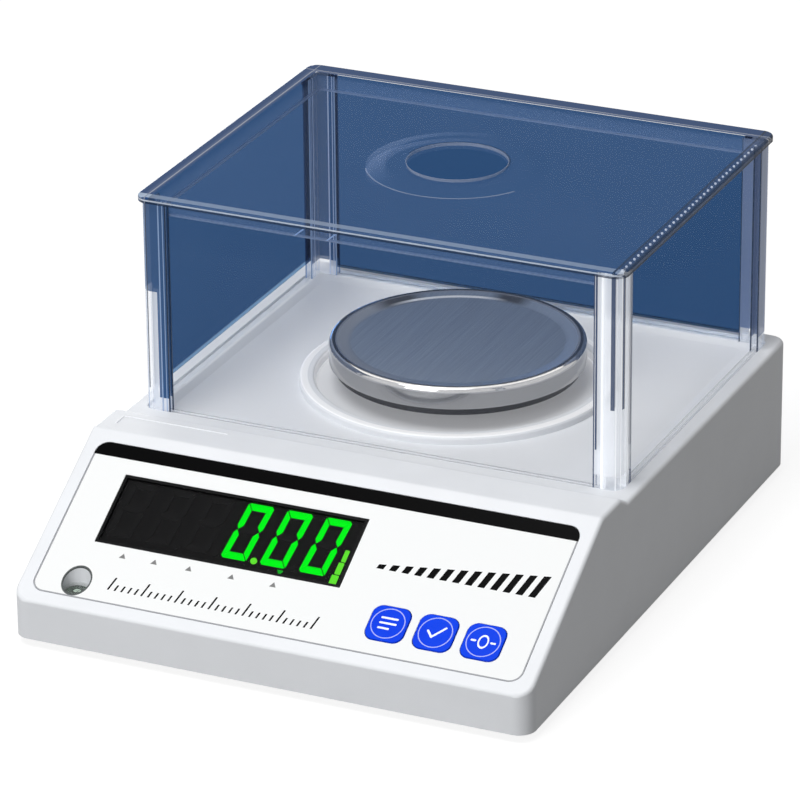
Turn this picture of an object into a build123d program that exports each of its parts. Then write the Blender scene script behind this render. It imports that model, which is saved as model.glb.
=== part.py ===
"""Digital precision scale with a clear draught shield, in millimetres.

+X is to the right and +Y to the back for a person who reads the display, +Z is up. The origin lies on
the table, under the middle of the housing. Every place below comes from the named sizes.
"""
from build123d import *
import math
import os

os.makedirs("parts", exist_ok=True)

# Housing
HOUSING_W = 250.0
HOUSING_D = 314.0
FLOOR_GAP = 4.0  # the housing's lower edge above the table
FRONT_H = 19.0  # upright front wall
CONSOLE_H = 68.4  # console shelf above the housing's lower edge
CONSOLE_RUN = 82.7  # plan depth of the sloping console
SHELF_D = 21.0  # flat shelf behind the slope
STEP_RUN = 8.5  # plan depth of the step down to the deck
DECK_H = 63.7  # deck above the housing's lower edge
WALL = 2.5
PLATE_T = 3.0
CORNER_R = 8.0
EDGE_R = 2.0
BEND_R = 3.0  # rounding of the section's bends
LEDGE_DEPTH = 1.5  # rebate that holds the draught shield
LEDGE_CLEAR = 0.5
FIELD_INSET = 4.5  # from the shield's outside to where the deck starts to sink
FIELD_SLOPE = 4.5  # width of the soft slope round the field
FIELD_DEPTH = 0.9
LIP_GAP = 6.5  # from the pan's edge to the low round lip that keeps spills from its well
LIP_W = 7.5
LIP_H = 1.5  # lip above the deck
LIP_ROUND = 1.6
WELL_DROP = 4.0  # well floor below the lip's top
COLLAR_R = 20.0
COLLAR_W = 2.5
COLLAR_H = 3.2

# Draught shield
SHIELD_SIDE = 7.5  # deck left free beside the shield
SHIELD_FRONT = 8.1  # and in front of it
SHIELD_REAR = 8.2  # and behind it
SHIELD_W = HOUSING_W - 2 * SHIELD_SIDE
SHIELD_D = HOUSING_D - CONSOLE_RUN - SHELF_D - STEP_RUN - SHIELD_FRONT - SHIELD_REAR
SHIELD_H = 106.2  # ledge to the lid's top
SEAT_GAP = 0.3  # between pieces that rest on each other but lift apart
POST_LEG = 13.0
POST_T = 4.0
POST_R = 5.0
PANEL_T = 2.5
SLOT_DEPTH = 4.0
SLOT_CLEAR = 0.1
LID_T = 3.0
LID_OVER = 1.75
LID_R = 6.0
SKIRT_H = 10.0  # lid's top to the skirt's lower edge
SKIRT_T = 2.0
SKIRT_CLEAR = 0.5
DOME_R = 42.3
DOME_RUN = 8.0
DOME_RISE = 2.0
LID_HOLE_R = 23.4

# Weighing pan and its support
PAN_MARGIN = 32.75  # from the shield's outside to the pan's edge
PAN_R = SHIELD_D / 2 - PAN_MARGIN
PAN_FORWARD = 2.55  # pan's centre in front of the shield's
LIP_IN_R = PAN_R + LIP_GAP
PAN_RISE = 19.4  # pan's crest above the deck
PAN_SIDE = 10.3
PAN_T = 0.8
PAN_RIM = 10.0  # rounded rim outside the flat floor
PAN_FLAT_R = PAN_R - PAN_RIM
PAN_DISH = 1.5
PAN_ROLL = 2.3
SUPPORT_INSET = 2.5  # support's edge inside the pan's
SUPPORT_R = PAN_R - SUPPORT_INSET
SUPPORT_SHOW = 3.8  # support seen below the pan's edge
SUPPORT_T = 5.0
HUB_R = 14.0
PAD_INSET = 18.0
PAD_RING_R = PAN_R - PAD_INSET
PAD_R = 5.0
PAD_COUNT = 4
PAD_SINK = 1.0
SUPPORT_SCREW_R = 2.0
SUPPORT_SCREW_HEAD_R = 3.6
SUPPORT_SCREW_HEAD_H = 2.6
SUPPORT_SCREW_L = 14.0
SUPPORT_SCREW_PITCH = 15.0
SUPPORT_SCREW_SINK = 13.0

# Load cell and carrier
CELL_L = 130.0
CELL_W = 30.0
CELL_H = 22.0
CELL_END = 30.0
CELL_HOLE_PITCH = 15.0
CELL_EYE_R = 8.0
CELL_EYE_PITCH = 28.0
CELL_SLOT_H = 6.0
CHASSIS_END = 15.0  # chassis beyond each end of the cell
CHASSIS_L = CELL_L + 2 * CHASSIS_END
CHASSIS_W = 60.0
CHASSIS_T = 3.0
CHASSIS_R = 4.0
CHASSIS_HOLE_X = 24.0
CHASSIS_HOLE_END = 8.0
SPACER_T = 5.0
PLATFORM_GAP = 0.5  # free end to the carrier
CARRIER_T = 5.5
CARRIER_DROP = 7.0  # carrier's top below the housing's roof
CELL_SCREW_R = 2.5
CELL_SCREW_HEAD_R = 4.2
CELL_SCREW_HEAD_H = 3.0
CELL_SCREW_CLEAR = 0.3
CELL_SCREW_BITE = 10.0
HEAD_GAP = 0.3
CARRIER_ARM_W = 24.0
CARRIER_HUB_R = 20.0
CARRIER_EAR_W = 14.0
STOP_R = 4.0
STOP_X = 24.0
STOP_GAP = 0.5
GAUGE_L = 34.0
GAUGE_W = 14.0
GAUGE_T = 1.0

# Console panel, sizes along the slope and depths below its surface
OVERLAY_SIDE = 7.0
OVERLAY_W = HOUSING_W - 2 * OVERLAY_SIDE
OVERLAY_LOW = 6.4
OVERLAY_HIGH = 89.5
OVERLAY_T = 0.5
OVERLAY_SINK = 0.1
OVERLAY_R = 6.0
OVERLAY_CLEAR = 0.25
WINDOW_W = 120.0
WINDOW_H = 37.2
WINDOW_LEFT = 86.6  # window's middle from the housing's left side
WINDOW_X = WINDOW_LEFT - HOUSING_W / 2
WINDOW_S = 55.4
WINDOW_T = 1.2
WINDOW_CLEAR = 0.2
WINDOW_LAND = 1.0  # housing's edge that carries the window
MODULE_GAP = 0.6  # wall to the display module
MODULE_OVER = 1.0
MODULE_T = 8.0
DIGITS = 6
DIGIT_MARGIN = 2.85  # row of digits inside the window's sides
DIGIT_PITCH = (WINDOW_W - 2 * DIGIT_MARGIN) / DIGITS
DIGIT_SPACE = 6.85
DIGIT_H = 29.8
DIGIT_W = DIGIT_PITCH - DIGIT_SPACE
DIGIT_SHIFT = 3.025
DIGIT_X = WINDOW_X + DIGIT_PITCH / 2 - DIGIT_SHIFT  # first lit digit
DIGIT_RISE = 2.2
DIGIT_S = WINDOW_S + DIGIT_RISE
SEGMENT_W = 2.55  # upright bars
SEGMENT_H = 3.3  # level bars
SEGMENT_T = 0.8
SEGMENT_GAP = 0.4
CORNER_CUT = 0.8
MIDDLE_RISE = 0.65  # middle bar above the digit's middle
TIP_OUT = 2.1  # pointed ends of the upright bars
TIP_IN = 2.6
TIP_SIDE = 0.95
DIGIT_LEAN = 4.5
POINT_R = 1.5
POINT_GAP = 2.5
POINT_X = DIGIT_W / 2 + POINT_GAP
POINT_DROP = 14.1
POINT_S = DIGIT_S - POINT_DROP
MARK_OUT = 3.45
MARK_X = DIGIT_X + DIGIT_PITCH + MARK_OUT  # small lit triangle
MARK_DROP = 17.2
MARK_S = DIGIT_S - MARK_DROP
MARK_SIZE = 3.0
BAR_MARGIN = 3.7
BAR_RIGHT = WINDOW_X + WINDOW_W / 2 - BAR_MARGIN
BAR_LOW_MARGIN = 1.2
BAR_LOW = WINDOW_S - WINDOW_H / 2 + BAR_LOW_MARGIN
BAR_STEP = 6.8
BAR_GAP = 0.9
BAR_WIDTHS = (3.1, 2.4, 1.8)
BOARD_T = 1.6
DISPLAY_BOARD_SIDE = 17.0
DISPLAY_BOARD_W = HOUSING_W - 2 * DISPLAY_BOARD_SIDE
DISPLAY_BOARD_LOW = 8.0
DISPLAY_BOARD_HIGH = 86.0
BOARD_NOTCH_W = 26.0  # left corner cut away for the level
BOARD_NOTCH_H = 16.0
BOARD_POST_R = 3.0
BOARD_HOLE_LEFT = 21.0  # display board's screws: upper row from the housing's sides
BOARD_HOLE_RIGHT = 27.0
BOARD_LOW_LEFT = 59.0  # lower row from the housing's sides
BOARD_LOW_RIGHT = 95.0
BOARD_HOLE_LOW = 14.0  # rows up the slope
BOARD_HOLE_HIGH = 80.0
KEY_SIZE = 18.0
KEY_R = 4.6
KEY_PITCH = 22.5
KEY_RIGHT = 52.2  # middle key from the housing's right side
KEY_X = HOUSING_W / 2 - KEY_RIGHT
KEY_S = 23.1
KEY_PROUD = 0.6
KEY_CLEAR = 0.35
KEY_FLANGE = 1.4  # above and below the key only
KEY_FLANGE_T = 1.0
KEY_TRAVEL = 0.4
STEM_R = 1.6
SWITCH_SIZE = 6.0
SWITCH_H = 3.5
SWITCH_BORE_CLEAR = 0.3
STEM_ENTRY = 1.0
LEVEL_LEFT = 26.8
LEVEL_X = LEVEL_LEFT - HOUSING_W / 2
LEVEL_S = 15.1
LEVEL_HOLE_R = 6.3
LEVEL_CUP_T = 0.9
LEVEL_WELL_T = 2.0
LEVEL_CLEAR = 0.15
LEVEL_CUP_H = 8.0
LEVEL_FLOOR_T = 1.2
LEVEL_LENS_T = 1.4
LEVEL_TOP_Z = 27.0

# Boards, battery, power
MAIN_BOARD_W = 100.0
MAIN_BOARD_D = 58.0
MAIN_BOARD_LEFT = 97.0  # its middle from the housing's left side and front
MAIN_BOARD_FRONT = 65.0
MAIN_BOARD_X = MAIN_BOARD_LEFT - HOUSING_W / 2
MAIN_BOARD_Y = MAIN_BOARD_FRONT - HOUSING_D / 2
SOCKET_X = -26.0  # ribbon socket on the main board, from its middle
SOCKET_Y = 22.0
SOCKET_H = 8.0
CABLE_PLUG_X = 33.0
CABLE_PLUG_Y = 22.0
CABLE_PLUG_H = 7.0
CABLE_PLUG_W = 6.0
STANDOFF_H = 6.0
BATTERY_W = 24.5
BATTERY_L = 97.0
BATTERY_H = 51.0
BATTERY_LEFT = 32.0  # its middle from the housing's left side and back
BATTERY_BACK = 109.0
BATTERY_X = BATTERY_LEFT - HOUSING_W / 2
BATTERY_Y = HOUSING_D / 2 - BATTERY_BACK
BATTERY_TAB_W = 0.8
BATTERY_TAB_L = 4.7
BATTERY_TAB_H = 4.0
BATTERY_TAB_IN = 7.0
BATTERY_TAB_PITCH = 11.0
BATTERY_GAP = 0.5
BAY_T = 2.0
BAY_H = 13.0
COVER_LAND = 3.0
COVER_T = 1.8
COVER_CLEAR = 0.3
COVER_TAB = 9.0  # room for the cover's screw in front of the battery
COVER_BOSS_H = 9.0
PLATE_CLEAR = 0.3
POCKET_W = 64.0
POCKET_H = 24.0
POCKET_LEFT = 85.0  # its middle from the housing's left side
POCKET_X = POCKET_LEFT - HOUSING_W / 2
POCKET_Z = 36.0
POCKET_DEPTH = 5.0
ROCKER_OUT = 15.0  # from the pocket's middle
ROCKER_X = POCKET_X - ROCKER_OUT
ROCKER_BODY = (18.8, 14.0, 12.6)
ROCKER_FLANGE = (21.0, 1.6, 15.0)
ROCKER_CAP = (14.0, 9.0)
ROCKER_SWING = 0.8  # room beside the cap
ROCKER_CLEAR = 0.4
ROCKER_CAVITY = 8.0
ROCKER_PIN_R = 1.2
ROCKER_PIN_L = 1.0
ROCKER_PIN_CLEAR = 0.08
ROCKER_TILT = 8.0
ROCKER_PIVOT_IN = 2.5  # pivot behind the flange's face
JACK_OUT = 16.0
JACK_X = POCKET_X + JACK_OUT
JACK_NOSE_R = 4.6
JACK_NOSE_OUT = 0.6
JACK_BODY = (9.0, 13.0, 11.0)
JACK_BORE_R = 3.2
JACK_BORE_L = 10.0
JACK_PIN_R = 1.0
JACK_PIN_SHORT = 1.0

# Screws
BOSS_R = 4.0
BOSS_HOLE_R = 1.25
SCREW_R = 1.5
SCREW_HEAD_R = 2.8
SCREW_HEAD_H = 1.8
SCREW_L = 10.0
SCREW_CLEAR = 0.2
FIT = 0.05  # round pieces seated in their holes
BOARD_SCREW_L = 7.0
CHASSIS_SCREW_L = 5.0
SCREW_FLUSH = 0.1
SCREW_SIDE = 11.0  # housing's screws from its sides
SCREW_FRONT = 62.0  # first pair from the front
SCREW_MIDDLE = 132.0  # second pair from the front
SCREW_BACK = 57.0  # third pair from the back

# Levelling feet
FOOT_SIDE = 25.0
FOOT_END = 27.0
FOOT_X = HOUSING_W / 2 - FOOT_SIDE
FOOT_Y = HOUSING_D / 2 - FOOT_END
FOOT_PAD_R = 11.0
FOOT_PAD_T = 3.1
FOOT_WHEEL_R = 13.0
FOOT_WHEEL_T = 5.0
FOOT_KNURLS = 20
FOOT_KNURL_R = 0.9
FOOT_GAP = 0.3
FOOT_TIP_R = 4.0
FOOT_TIP_L = 1.8
STUD_R = 3.0
STUD_L = 11.0
STUD_CLEAR = 0.15
NUT_R = 5.0
NUT_L = 5.0
FOOT_ROOM = 2.0  # round the wheel
FOOT_UP = 2.4  # over the wheel
POCKET_WALL = 2.5

# Leads
CELL_CABLE_R = 1.8
CELL_CABLE_BEND = 12.0
CELL_CABLE_OUT = 17.0  # straight run out of the load cell
PLUG_RUN = 19.0  # straight run into the plug
RIBBON_W = 20.0
RIBBON_T = 0.8
RIBBON_BEND = 3.0
HEADER_S = 70.0  # header of the ribbon on the display board
HEADER_W = 5.0
HEADER_H = 5.0

# Places worked out from the sizes
FRONT_Y = -HOUSING_D / 2
BACK_Y = HOUSING_D / 2
FRONT_TOP_Z = FLOOR_GAP + FRONT_H
SHELF_Z = FLOOR_GAP + CONSOLE_H
DECK_Z = FLOOR_GAP + DECK_H
LEDGE_Z = DECK_Z - LEDGE_DEPTH
FIELD_Z = LEDGE_Z - FIELD_DEPTH
ROOF_Z = FIELD_Z - WALL
LIP_Z = DECK_Z + LIP_H
WELL_Z = LIP_Z - WELL_DROP
SLOPE = math.atan2(CONSOLE_H - FRONT_H, CONSOLE_RUN)
SLOPE_SIN, SLOPE_COS = math.sin(SLOPE), math.cos(SLOPE)
SHELF_Y = FRONT_Y + CONSOLE_RUN
STEP_Y = SHELF_Y + SHELF_D
DECK_Y = STEP_Y + STEP_RUN
SHIELD_Y = BACK_Y - SHIELD_REAR - SHIELD_D / 2
SHIELD_Z = LEDGE_Z + SEAT_GAP
LID_TOP_Z = LEDGE_Z + SHIELD_H
LID_Z = LID_TOP_Z - LID_T
POST_TOP_Z = LID_Z - SEAT_GAP
PAN_Y = SHIELD_Y - PAN_FORWARD
PAN_TOP_Z = DECK_Z + PAN_RISE
PAN_LOW_Z = PAN_TOP_Z - PAN_SIDE
PAN_FLOOR_Z = PAN_TOP_Z - PAN_DISH
SUPPORT_Z = PAN_LOW_Z - SUPPORT_SHOW
SUPPORT_TOP_Z = SUPPORT_Z + SUPPORT_T
PLATE_Z = FLOOR_GAP + PLATE_T
CELL_Z = PLATE_Z + CHASSIS_T + SPACER_T
CELL_TOP_Z = CELL_Z + CELL_H
CARRIER_TOP_Z = ROOF_Z - CARRIER_DROP
CARRIER_Z = CARRIER_TOP_Z - CARRIER_T
MODULE_DEPTH = WALL + MODULE_GAP
BOARD_DEPTH = MODULE_DEPTH + MODULE_T
OVERLAY_S = (OVERLAY_LOW + OVERLAY_HIGH) / 2
OVERLAY_H = OVERLAY_HIGH - OVERLAY_LOW
OVERLAY_DEPTH = OVERLAY_SINK + OVERLAY_T
KEY_PLACES = {"function": KEY_X - KEY_PITCH, "count": KEY_X, "tare": KEY_X + KEY_PITCH}
FOOT_PLACES = {"front_left": (-1, -1), "front_right": (1, -1), "rear_left": (-1, 1), "rear_right": (1, 1)}
SCREW_ROWS = (FRONT_Y + SCREW_FRONT, FRONT_Y + SCREW_MIDDLE, BACK_Y - SCREW_BACK)
HOUSING_SCREWS = [(side * (HOUSING_W / 2 - SCREW_SIDE), y) for side in (-1, 1) for y in SCREW_ROWS]
RIBBON_X = MAIN_BOARD_X + SOCKET_X
BOARD_HOLES = [
    (BOARD_HOLE_LEFT - HOUSING_W / 2, BOARD_HOLE_HIGH),
    (0.0, BOARD_HOLE_HIGH),
    (HOUSING_W / 2 - BOARD_HOLE_RIGHT, BOARD_HOLE_HIGH),
    (BOARD_LOW_LEFT - HOUSING_W / 2, BOARD_HOLE_LOW),
    (HOUSING_W / 2 - BOARD_LOW_RIGHT, BOARD_HOLE_LOW),
]


def keep(piece, name):
    """Labels a finished piece and writes it to its own file."""
    piece.part.label = name
    export_step(piece.part, f"parts/{name}.step")


def slope_plane(depth=0.0):
    """Plane parallel to the console's surface: x to the right, y up the slope from its lower edge."""
    origin = (0, FRONT_Y + depth * SLOPE_SIN, FRONT_TOP_Z - depth * SLOPE_COS)
    return Plane(origin=origin, x_dir=(1, 0, 0), z_dir=(0, -SLOPE_SIN, SLOPE_COS))


def slope_y(along, depth=0.0):
    """Row Y of a point on the slope."""
    return FRONT_Y + along * SLOPE_COS + depth * SLOPE_SIN


def slope_height(y, depth=0.0):
    """Height of the slope over a plan place, at a depth below its surface."""
    return FRONT_TOP_Z + (y - FRONT_Y) * math.tan(SLOPE) - depth / SLOPE_COS


def section_points(inset, deck_z):
    """Side view of the housing, drawn in by a wall's thickness."""
    shelf_z = SHELF_Z - inset
    top_y = FRONT_Y + (shelf_z + inset / SLOPE_COS - FRONT_TOP_Z) / math.tan(SLOPE)
    return [
        (FRONT_Y + inset, FLOOR_GAP),
        (FRONT_Y + inset, slope_height(FRONT_Y + inset, inset)),
        (top_y, shelf_z),
        (STEP_Y - inset / 2, shelf_z),
        (DECK_Y - inset / 2, deck_z),
        (BACK_Y - inset, deck_z),
        (BACK_Y - inset, FLOOR_GAP),
    ]


def on_outline(point):
    """True where a point lies on the housing's outer walls."""
    dx = max(abs(point.X) - (HOUSING_W / 2 - CORNER_R), 0)
    dy = max(abs(point.Y) - (HOUSING_D / 2 - CORNER_R), 0)
    return abs(math.hypot(dx, dy) - CORNER_R) < 0.01


def rim_edge(edge):
    """True for the edges where the top meets the outer walls."""
    start, middle, end = edge @ 0, edge @ 0.5, edge @ 1
    flat = math.hypot(end.X - start.X, end.Y - start.Y)
    return flat > 0.01 and middle.Z > FLOOR_GAP + 1 and all(on_outline(p) for p in (start, middle, end))


# Inside of the upper housing: what is left standing in it becomes bosses and thick places
with BuildPart() as cavity:
    with BuildSketch(Plane.XY.offset(FLOOR_GAP)):
        RectangleRounded(HOUSING_W - 2 * WALL, HOUSING_D - 2 * WALL, CORNER_R - WALL)
    extrude(amount=CONSOLE_H)
    with BuildSketch(Plane.YZ):
        with BuildLine():
            Polyline(*section_points(WALL, ROOF_Z), close=True)
        make_face()
    extrude(amount=HOUSING_W / 2, both=True, mode=Mode.INTERSECT)
    # Screw bosses
    with BuildSketch(Plane.XY.offset(PLATE_Z)):
        with Locations(*HOUSING_SCREWS):
            Circle(BOSS_R)
    extrude(amount=CONSOLE_H, mode=Mode.SUBTRACT)
    # Wall of the level's well, with its floor
    with BuildSketch(Plane.XY.offset(LEVEL_TOP_Z - LEVEL_CUP_H - LEVEL_WELL_T)):
        with Locations((LEVEL_X, slope_y(LEVEL_S))):
            Circle(LEVEL_HOLE_R + LEVEL_WELL_T)
    extrude(amount=CONSOLE_H, mode=Mode.SUBTRACT)
    # Posts for the display board
    with BuildSketch(slope_plane(BOARD_DEPTH)):
        with Locations(*BOARD_HOLES):
            Circle(BOARD_POST_R)
    extrude(amount=BOARD_DEPTH, mode=Mode.SUBTRACT)
    # Thick place round the rear pocket
    with BuildSketch(Plane.XZ.offset(-BACK_Y)):
        with Locations((POCKET_X, POCKET_Z)):
            Rectangle(POCKET_W + 2 * WALL, POCKET_H + 2 * WALL)
    extrude(amount=POCKET_DEPTH + WALL, mode=Mode.SUBTRACT)

with BuildPart() as upper_housing:
    with BuildSketch(Plane.XY.offset(FLOOR_GAP)):
        RectangleRounded(HOUSING_W, HOUSING_D, CORNER_R)
    extrude(amount=CONSOLE_H + BEND_R)
    with BuildSketch(Plane.YZ) as side_view:
        with BuildLine():
            Polyline(*section_points(0, DECK_Z), close=True)
        make_face()
        fillet(side_view.vertices().filter_by(lambda v: FRONT_Y + 1 < v.X < BACK_Y - 1), BEND_R)
    extrude(amount=HOUSING_W / 2, both=True, mode=Mode.INTERSECT)
    fillet(upper_housing.edges().filter_by(rim_edge), EDGE_R)
    # Rebate for the draught shield, and the soft field inside it
    with BuildSketch(Plane.XY.offset(LEDGE_Z)):
        with Locations((0, SHIELD_Y)):
            RectangleRounded(SHIELD_W + 2 * LEDGE_CLEAR, SHIELD_D + 2 * LEDGE_CLEAR, POST_R + LEDGE_CLEAR)
    extrude(amount=CONSOLE_H, mode=Mode.SUBTRACT)
    with BuildSketch(Plane.XY.offset(LEDGE_Z)):
        with Locations((0, SHIELD_Y)):
            RectangleRounded(SHIELD_W - 2 * FIELD_INSET, SHIELD_D - 2 * FIELD_INSET, POST_R)
    with BuildSketch(Plane.XY.offset(FIELD_Z)):
        with Locations((0, SHIELD_Y)):
            inner = 2 * (FIELD_INSET + FIELD_SLOPE)
            RectangleRounded(SHIELD_W - inner, SHIELD_D - inner, POST_R)
    loft(ruled=True, mode=Mode.SUBTRACT)
    # Round lip, the well inside it and the collar round the support's hub
    with BuildSketch(Plane.YZ) as lip_view:
        with Locations((PAN_Y + LIP_IN_R + LIP_W / 2, (FIELD_Z - 1 + LIP_Z) / 2)):
            Rectangle(LIP_W, LIP_Z - FIELD_Z + 1)
        fillet(lip_view.vertices().group_by(Axis.Y)[-1], LIP_ROUND)
    revolve(axis=Axis((0, PAN_Y, 0), (0, 0, 1)))
    with BuildSketch(Plane.XY.offset(WELL_Z)):
        with Locations((0, PAN_Y)):
            Circle(LIP_IN_R)
    extrude(amount=LIP_Z - WELL_Z, mode=Mode.SUBTRACT)
    with BuildSketch(Plane.XY.offset(WELL_Z)):
        with Locations((0, PAN_Y)):
            Circle(COLLAR_R)
    extrude(amount=COLLAR_H)
    with BuildSketch(Plane.XY.offset(ROOF_Z - 1)):
        with Locations((0, PAN_Y)):
            Circle(COLLAR_R - COLLAR_W)
    extrude(amount=CONSOLE_H, mode=Mode.SUBTRACT)
    # Sloping panel: overlay's recess, window's seat, key holes
    with BuildSketch(slope_plane()):
        with Locations((0, OVERLAY_S)):
            recess = 2 * OVERLAY_CLEAR
            RectangleRounded(OVERLAY_W + recess, OVERLAY_H + recess, OVERLAY_R + OVERLAY_CLEAR)
    extrude(amount=-(OVERLAY_SINK + OVERLAY_T), mode=Mode.SUBTRACT)
    with BuildSketch(slope_plane()):
        with Locations((WINDOW_X, WINDOW_S)):
            Rectangle(WINDOW_W + 2 * WINDOW_CLEAR, WINDOW_H + 2 * WINDOW_CLEAR)
    extrude(amount=-(OVERLAY_SINK + WINDOW_T), mode=Mode.SUBTRACT)
    with BuildSketch(slope_plane()):
        with Locations((WINDOW_X, WINDOW_S)):
            Rectangle(WINDOW_W - 2 * WINDOW_LAND, WINDOW_H - 2 * WINDOW_LAND)
        with Locations(*[(x, KEY_S) for x in KEY_PLACES.values()]):
            RectangleRounded(KEY_SIZE + 2 * KEY_CLEAR, KEY_SIZE + 2 * KEY_CLEAR, KEY_R + KEY_CLEAR)
    extrude(amount=-(WALL + 1), mode=Mode.SUBTRACT)
    # Hollow inside
    add(cavity.part, mode=Mode.SUBTRACT)
    # Well of the level
    with BuildSketch(Plane.XY.offset(LEVEL_TOP_Z - LEVEL_CUP_H)):
        with Locations((LEVEL_X, slope_y(LEVEL_S))):
            Circle(LEVEL_HOLE_R)
    extrude(amount=CONSOLE_H, mode=Mode.SUBTRACT)
    # Screw holes
    with BuildSketch(Plane.XY.offset(PLATE_Z)):
        with Locations(*HOUSING_SCREWS):
            Circle(SCREW_R + FIT)
    extrude(amount=SCREW_L, mode=Mode.SUBTRACT)
    with BuildSketch(slope_plane(BOARD_DEPTH)):
        with Locations(*BOARD_HOLES):
            Circle(SCREW_R + FIT)
    extrude(amount=BOARD_SCREW_L - BOARD_T + 0.5, mode=Mode.SUBTRACT)
    # Rear pocket with the holes for the switch and the power jack
    with BuildSketch(Plane.XZ.offset(-BACK_Y)):
        with Locations((POCKET_X, POCKET_Z)):
            RectangleRounded(POCKET_W, POCKET_H, 3.0)
    extrude(amount=POCKET_DEPTH, mode=Mode.SUBTRACT)
    with BuildSketch(Plane.XZ.offset(-BACK_Y)):
        with Locations((ROCKER_X, POCKET_Z)):
            Rectangle(ROCKER_BODY[0] + 2 * SCREW_CLEAR, ROCKER_BODY[2] + 2 * SCREW_CLEAR)
        with Locations((JACK_X, POCKET_Z)):
            Circle(JACK_NOSE_R + FIT)
    extrude(amount=POCKET_DEPTH + WALL + 1, mode=Mode.SUBTRACT)
keep(upper_housing, "upper_housing")

# Base plate inside the housing's walls
PLATE_INSET = WALL + PLATE_CLEAR
WHEEL_Z = FOOT_PAD_T + FOOT_GAP
WHEEL_TOP_Z = WHEEL_Z + FOOT_WHEEL_T
CUP_Z = WHEEL_TOP_Z + FOOT_UP
CUP_R = FOOT_WHEEL_R + FOOT_KNURL_R + FOOT_ROOM
FEET = [(sx * FOOT_X, sy * FOOT_Y) for sx, sy in FOOT_PLACES.values()]
BOARD_INSET = 5.0
STANDOFF_X, STANDOFF_Y = MAIN_BOARD_W / 2 - BOARD_INSET, MAIN_BOARD_D / 2 - BOARD_INSET
STANDOFFS = [
    (MAIN_BOARD_X + sx * STANDOFF_X, MAIN_BOARD_Y + sy * STANDOFF_Y)
    for sx in (-1, 1)
    for sy in (-1, 1)
]
STANDOFF_R = 3.5
BAY_W = BATTERY_W + 2 * BATTERY_GAP
BAY_L = BATTERY_L + 2 * BATTERY_GAP
COVER_W = BAY_W + 2 * COVER_LAND
COVER_L = BAY_L + COVER_TAB + COVER_LAND
COVER_Y = BATTERY_Y + (COVER_LAND - COVER_TAB) / 2
COVER_SCREW_Y = BATTERY_Y - BAY_L / 2 - COVER_TAB / 2
CHASSIS_HOLE_Y = CHASSIS_L / 2 - CHASSIS_HOLE_END
CHASSIS_HOLES = [(sx * CHASSIS_HOLE_X, PAN_Y + sy * CHASSIS_HOLE_Y) for sx in (-1, 1) for sy in (-1, 1)]

with BuildPart() as lower_housing:
    with BuildSketch(Plane.XY.offset(FLOOR_GAP)):
        RectangleRounded(HOUSING_W - 2 * PLATE_INSET, HOUSING_D - 2 * PLATE_INSET, CORNER_R - PLATE_INSET)
    extrude(amount=PLATE_T)
    with BuildSketch(Plane.XY.offset(FLOOR_GAP)):
        with Locations(*FEET):
            Circle(CUP_R + POCKET_WALL)
    extrude(amount=CUP_Z + POCKET_WALL - FLOOR_GAP)
    with BuildSketch(Plane.XY.offset(FLOOR_GAP)):
        with Locations(*FEET):
            Circle(NUT_R + POCKET_WALL)
    extrude(amount=CUP_Z + NUT_L - FLOOR_GAP)
    with BuildSketch(Plane.XY.offset(FLOOR_GAP)):
        with Locations(*FEET):
            Circle(CUP_R)
    extrude(amount=CUP_Z - FLOOR_GAP, mode=Mode.SUBTRACT)
    with BuildSketch(Plane.XY.offset(CUP_Z - 1)):
        with Locations(*FEET):
            Circle(NUT_R + FIT)
    extrude(amount=NUT_L + 2, mode=Mode.SUBTRACT)
    # Standoffs of the main board
    with BuildSketch(Plane.XY.offset(PLATE_Z)):
        with Locations(*STANDOFFS):
            Circle(STANDOFF_R)
            Circle(SCREW_R + FIT, mode=Mode.SUBTRACT)
    extrude(amount=STANDOFF_H)
    # Battery bay and the recess of its cover
    with BuildSketch(Plane.XY.offset(PLATE_Z)):
        with Locations((BATTERY_X, BATTERY_Y)):
            Rectangle(BAY_W + 2 * BAY_T, BAY_L + 2 * BAY_T)
    extrude(amount=BAY_H)
    with BuildSketch(Plane.XY.offset(PLATE_Z)):
        with Locations((BATTERY_X, COVER_SCREW_Y)):
            Circle(BOSS_R)
    extrude(amount=COVER_BOSS_H)
    with BuildSketch(Plane.XY.offset(FLOOR_GAP)):
        with Locations((BATTERY_X, BATTERY_Y)):
            Rectangle(BAY_W, BAY_L)
    extrude(amount=PLATE_T + BAY_H, mode=Mode.SUBTRACT)
    with BuildSketch(Plane.XY.offset(FLOOR_GAP)):
        with Locations((BATTERY_X, COVER_Y)):
            Rectangle(COVER_W + 2 * COVER_CLEAR, COVER_L + 2 * COVER_CLEAR)
    extrude(amount=COVER_T, mode=Mode.SUBTRACT)
    with BuildSketch(Plane.XY.offset(FLOOR_GAP)):
        with Locations((BATTERY_X, COVER_SCREW_Y)):
            Circle(SCREW_R + FIT)
    extrude(amount=SCREW_L + 1, mode=Mode.SUBTRACT)
    # Sunk holes of the housing's screws
    with BuildSketch(Plane.XY.offset(FLOOR_GAP)):
        with Locations(*HOUSING_SCREWS):
            Circle(SCREW_HEAD_R + SCREW_CLEAR)
    extrude(amount=SCREW_HEAD_H + SCREW_FLUSH, mode=Mode.SUBTRACT)
    with BuildSketch(Plane.XY.offset(FLOOR_GAP)):
        with Locations(*HOUSING_SCREWS):
            Circle(SCREW_R + SCREW_CLEAR)
    extrude(amount=PLATE_T, mode=Mode.SUBTRACT)
    with BuildSketch(Plane.XY.offset(PLATE_Z)):
        with Locations(*CHASSIS_HOLES):
            Circle(SCREW_R + FIT)
    extrude(amount=-(CHASSIS_SCREW_L - CHASSIS_T), mode=Mode.SUBTRACT)
keep(lower_housing, "lower_housing")

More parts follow.
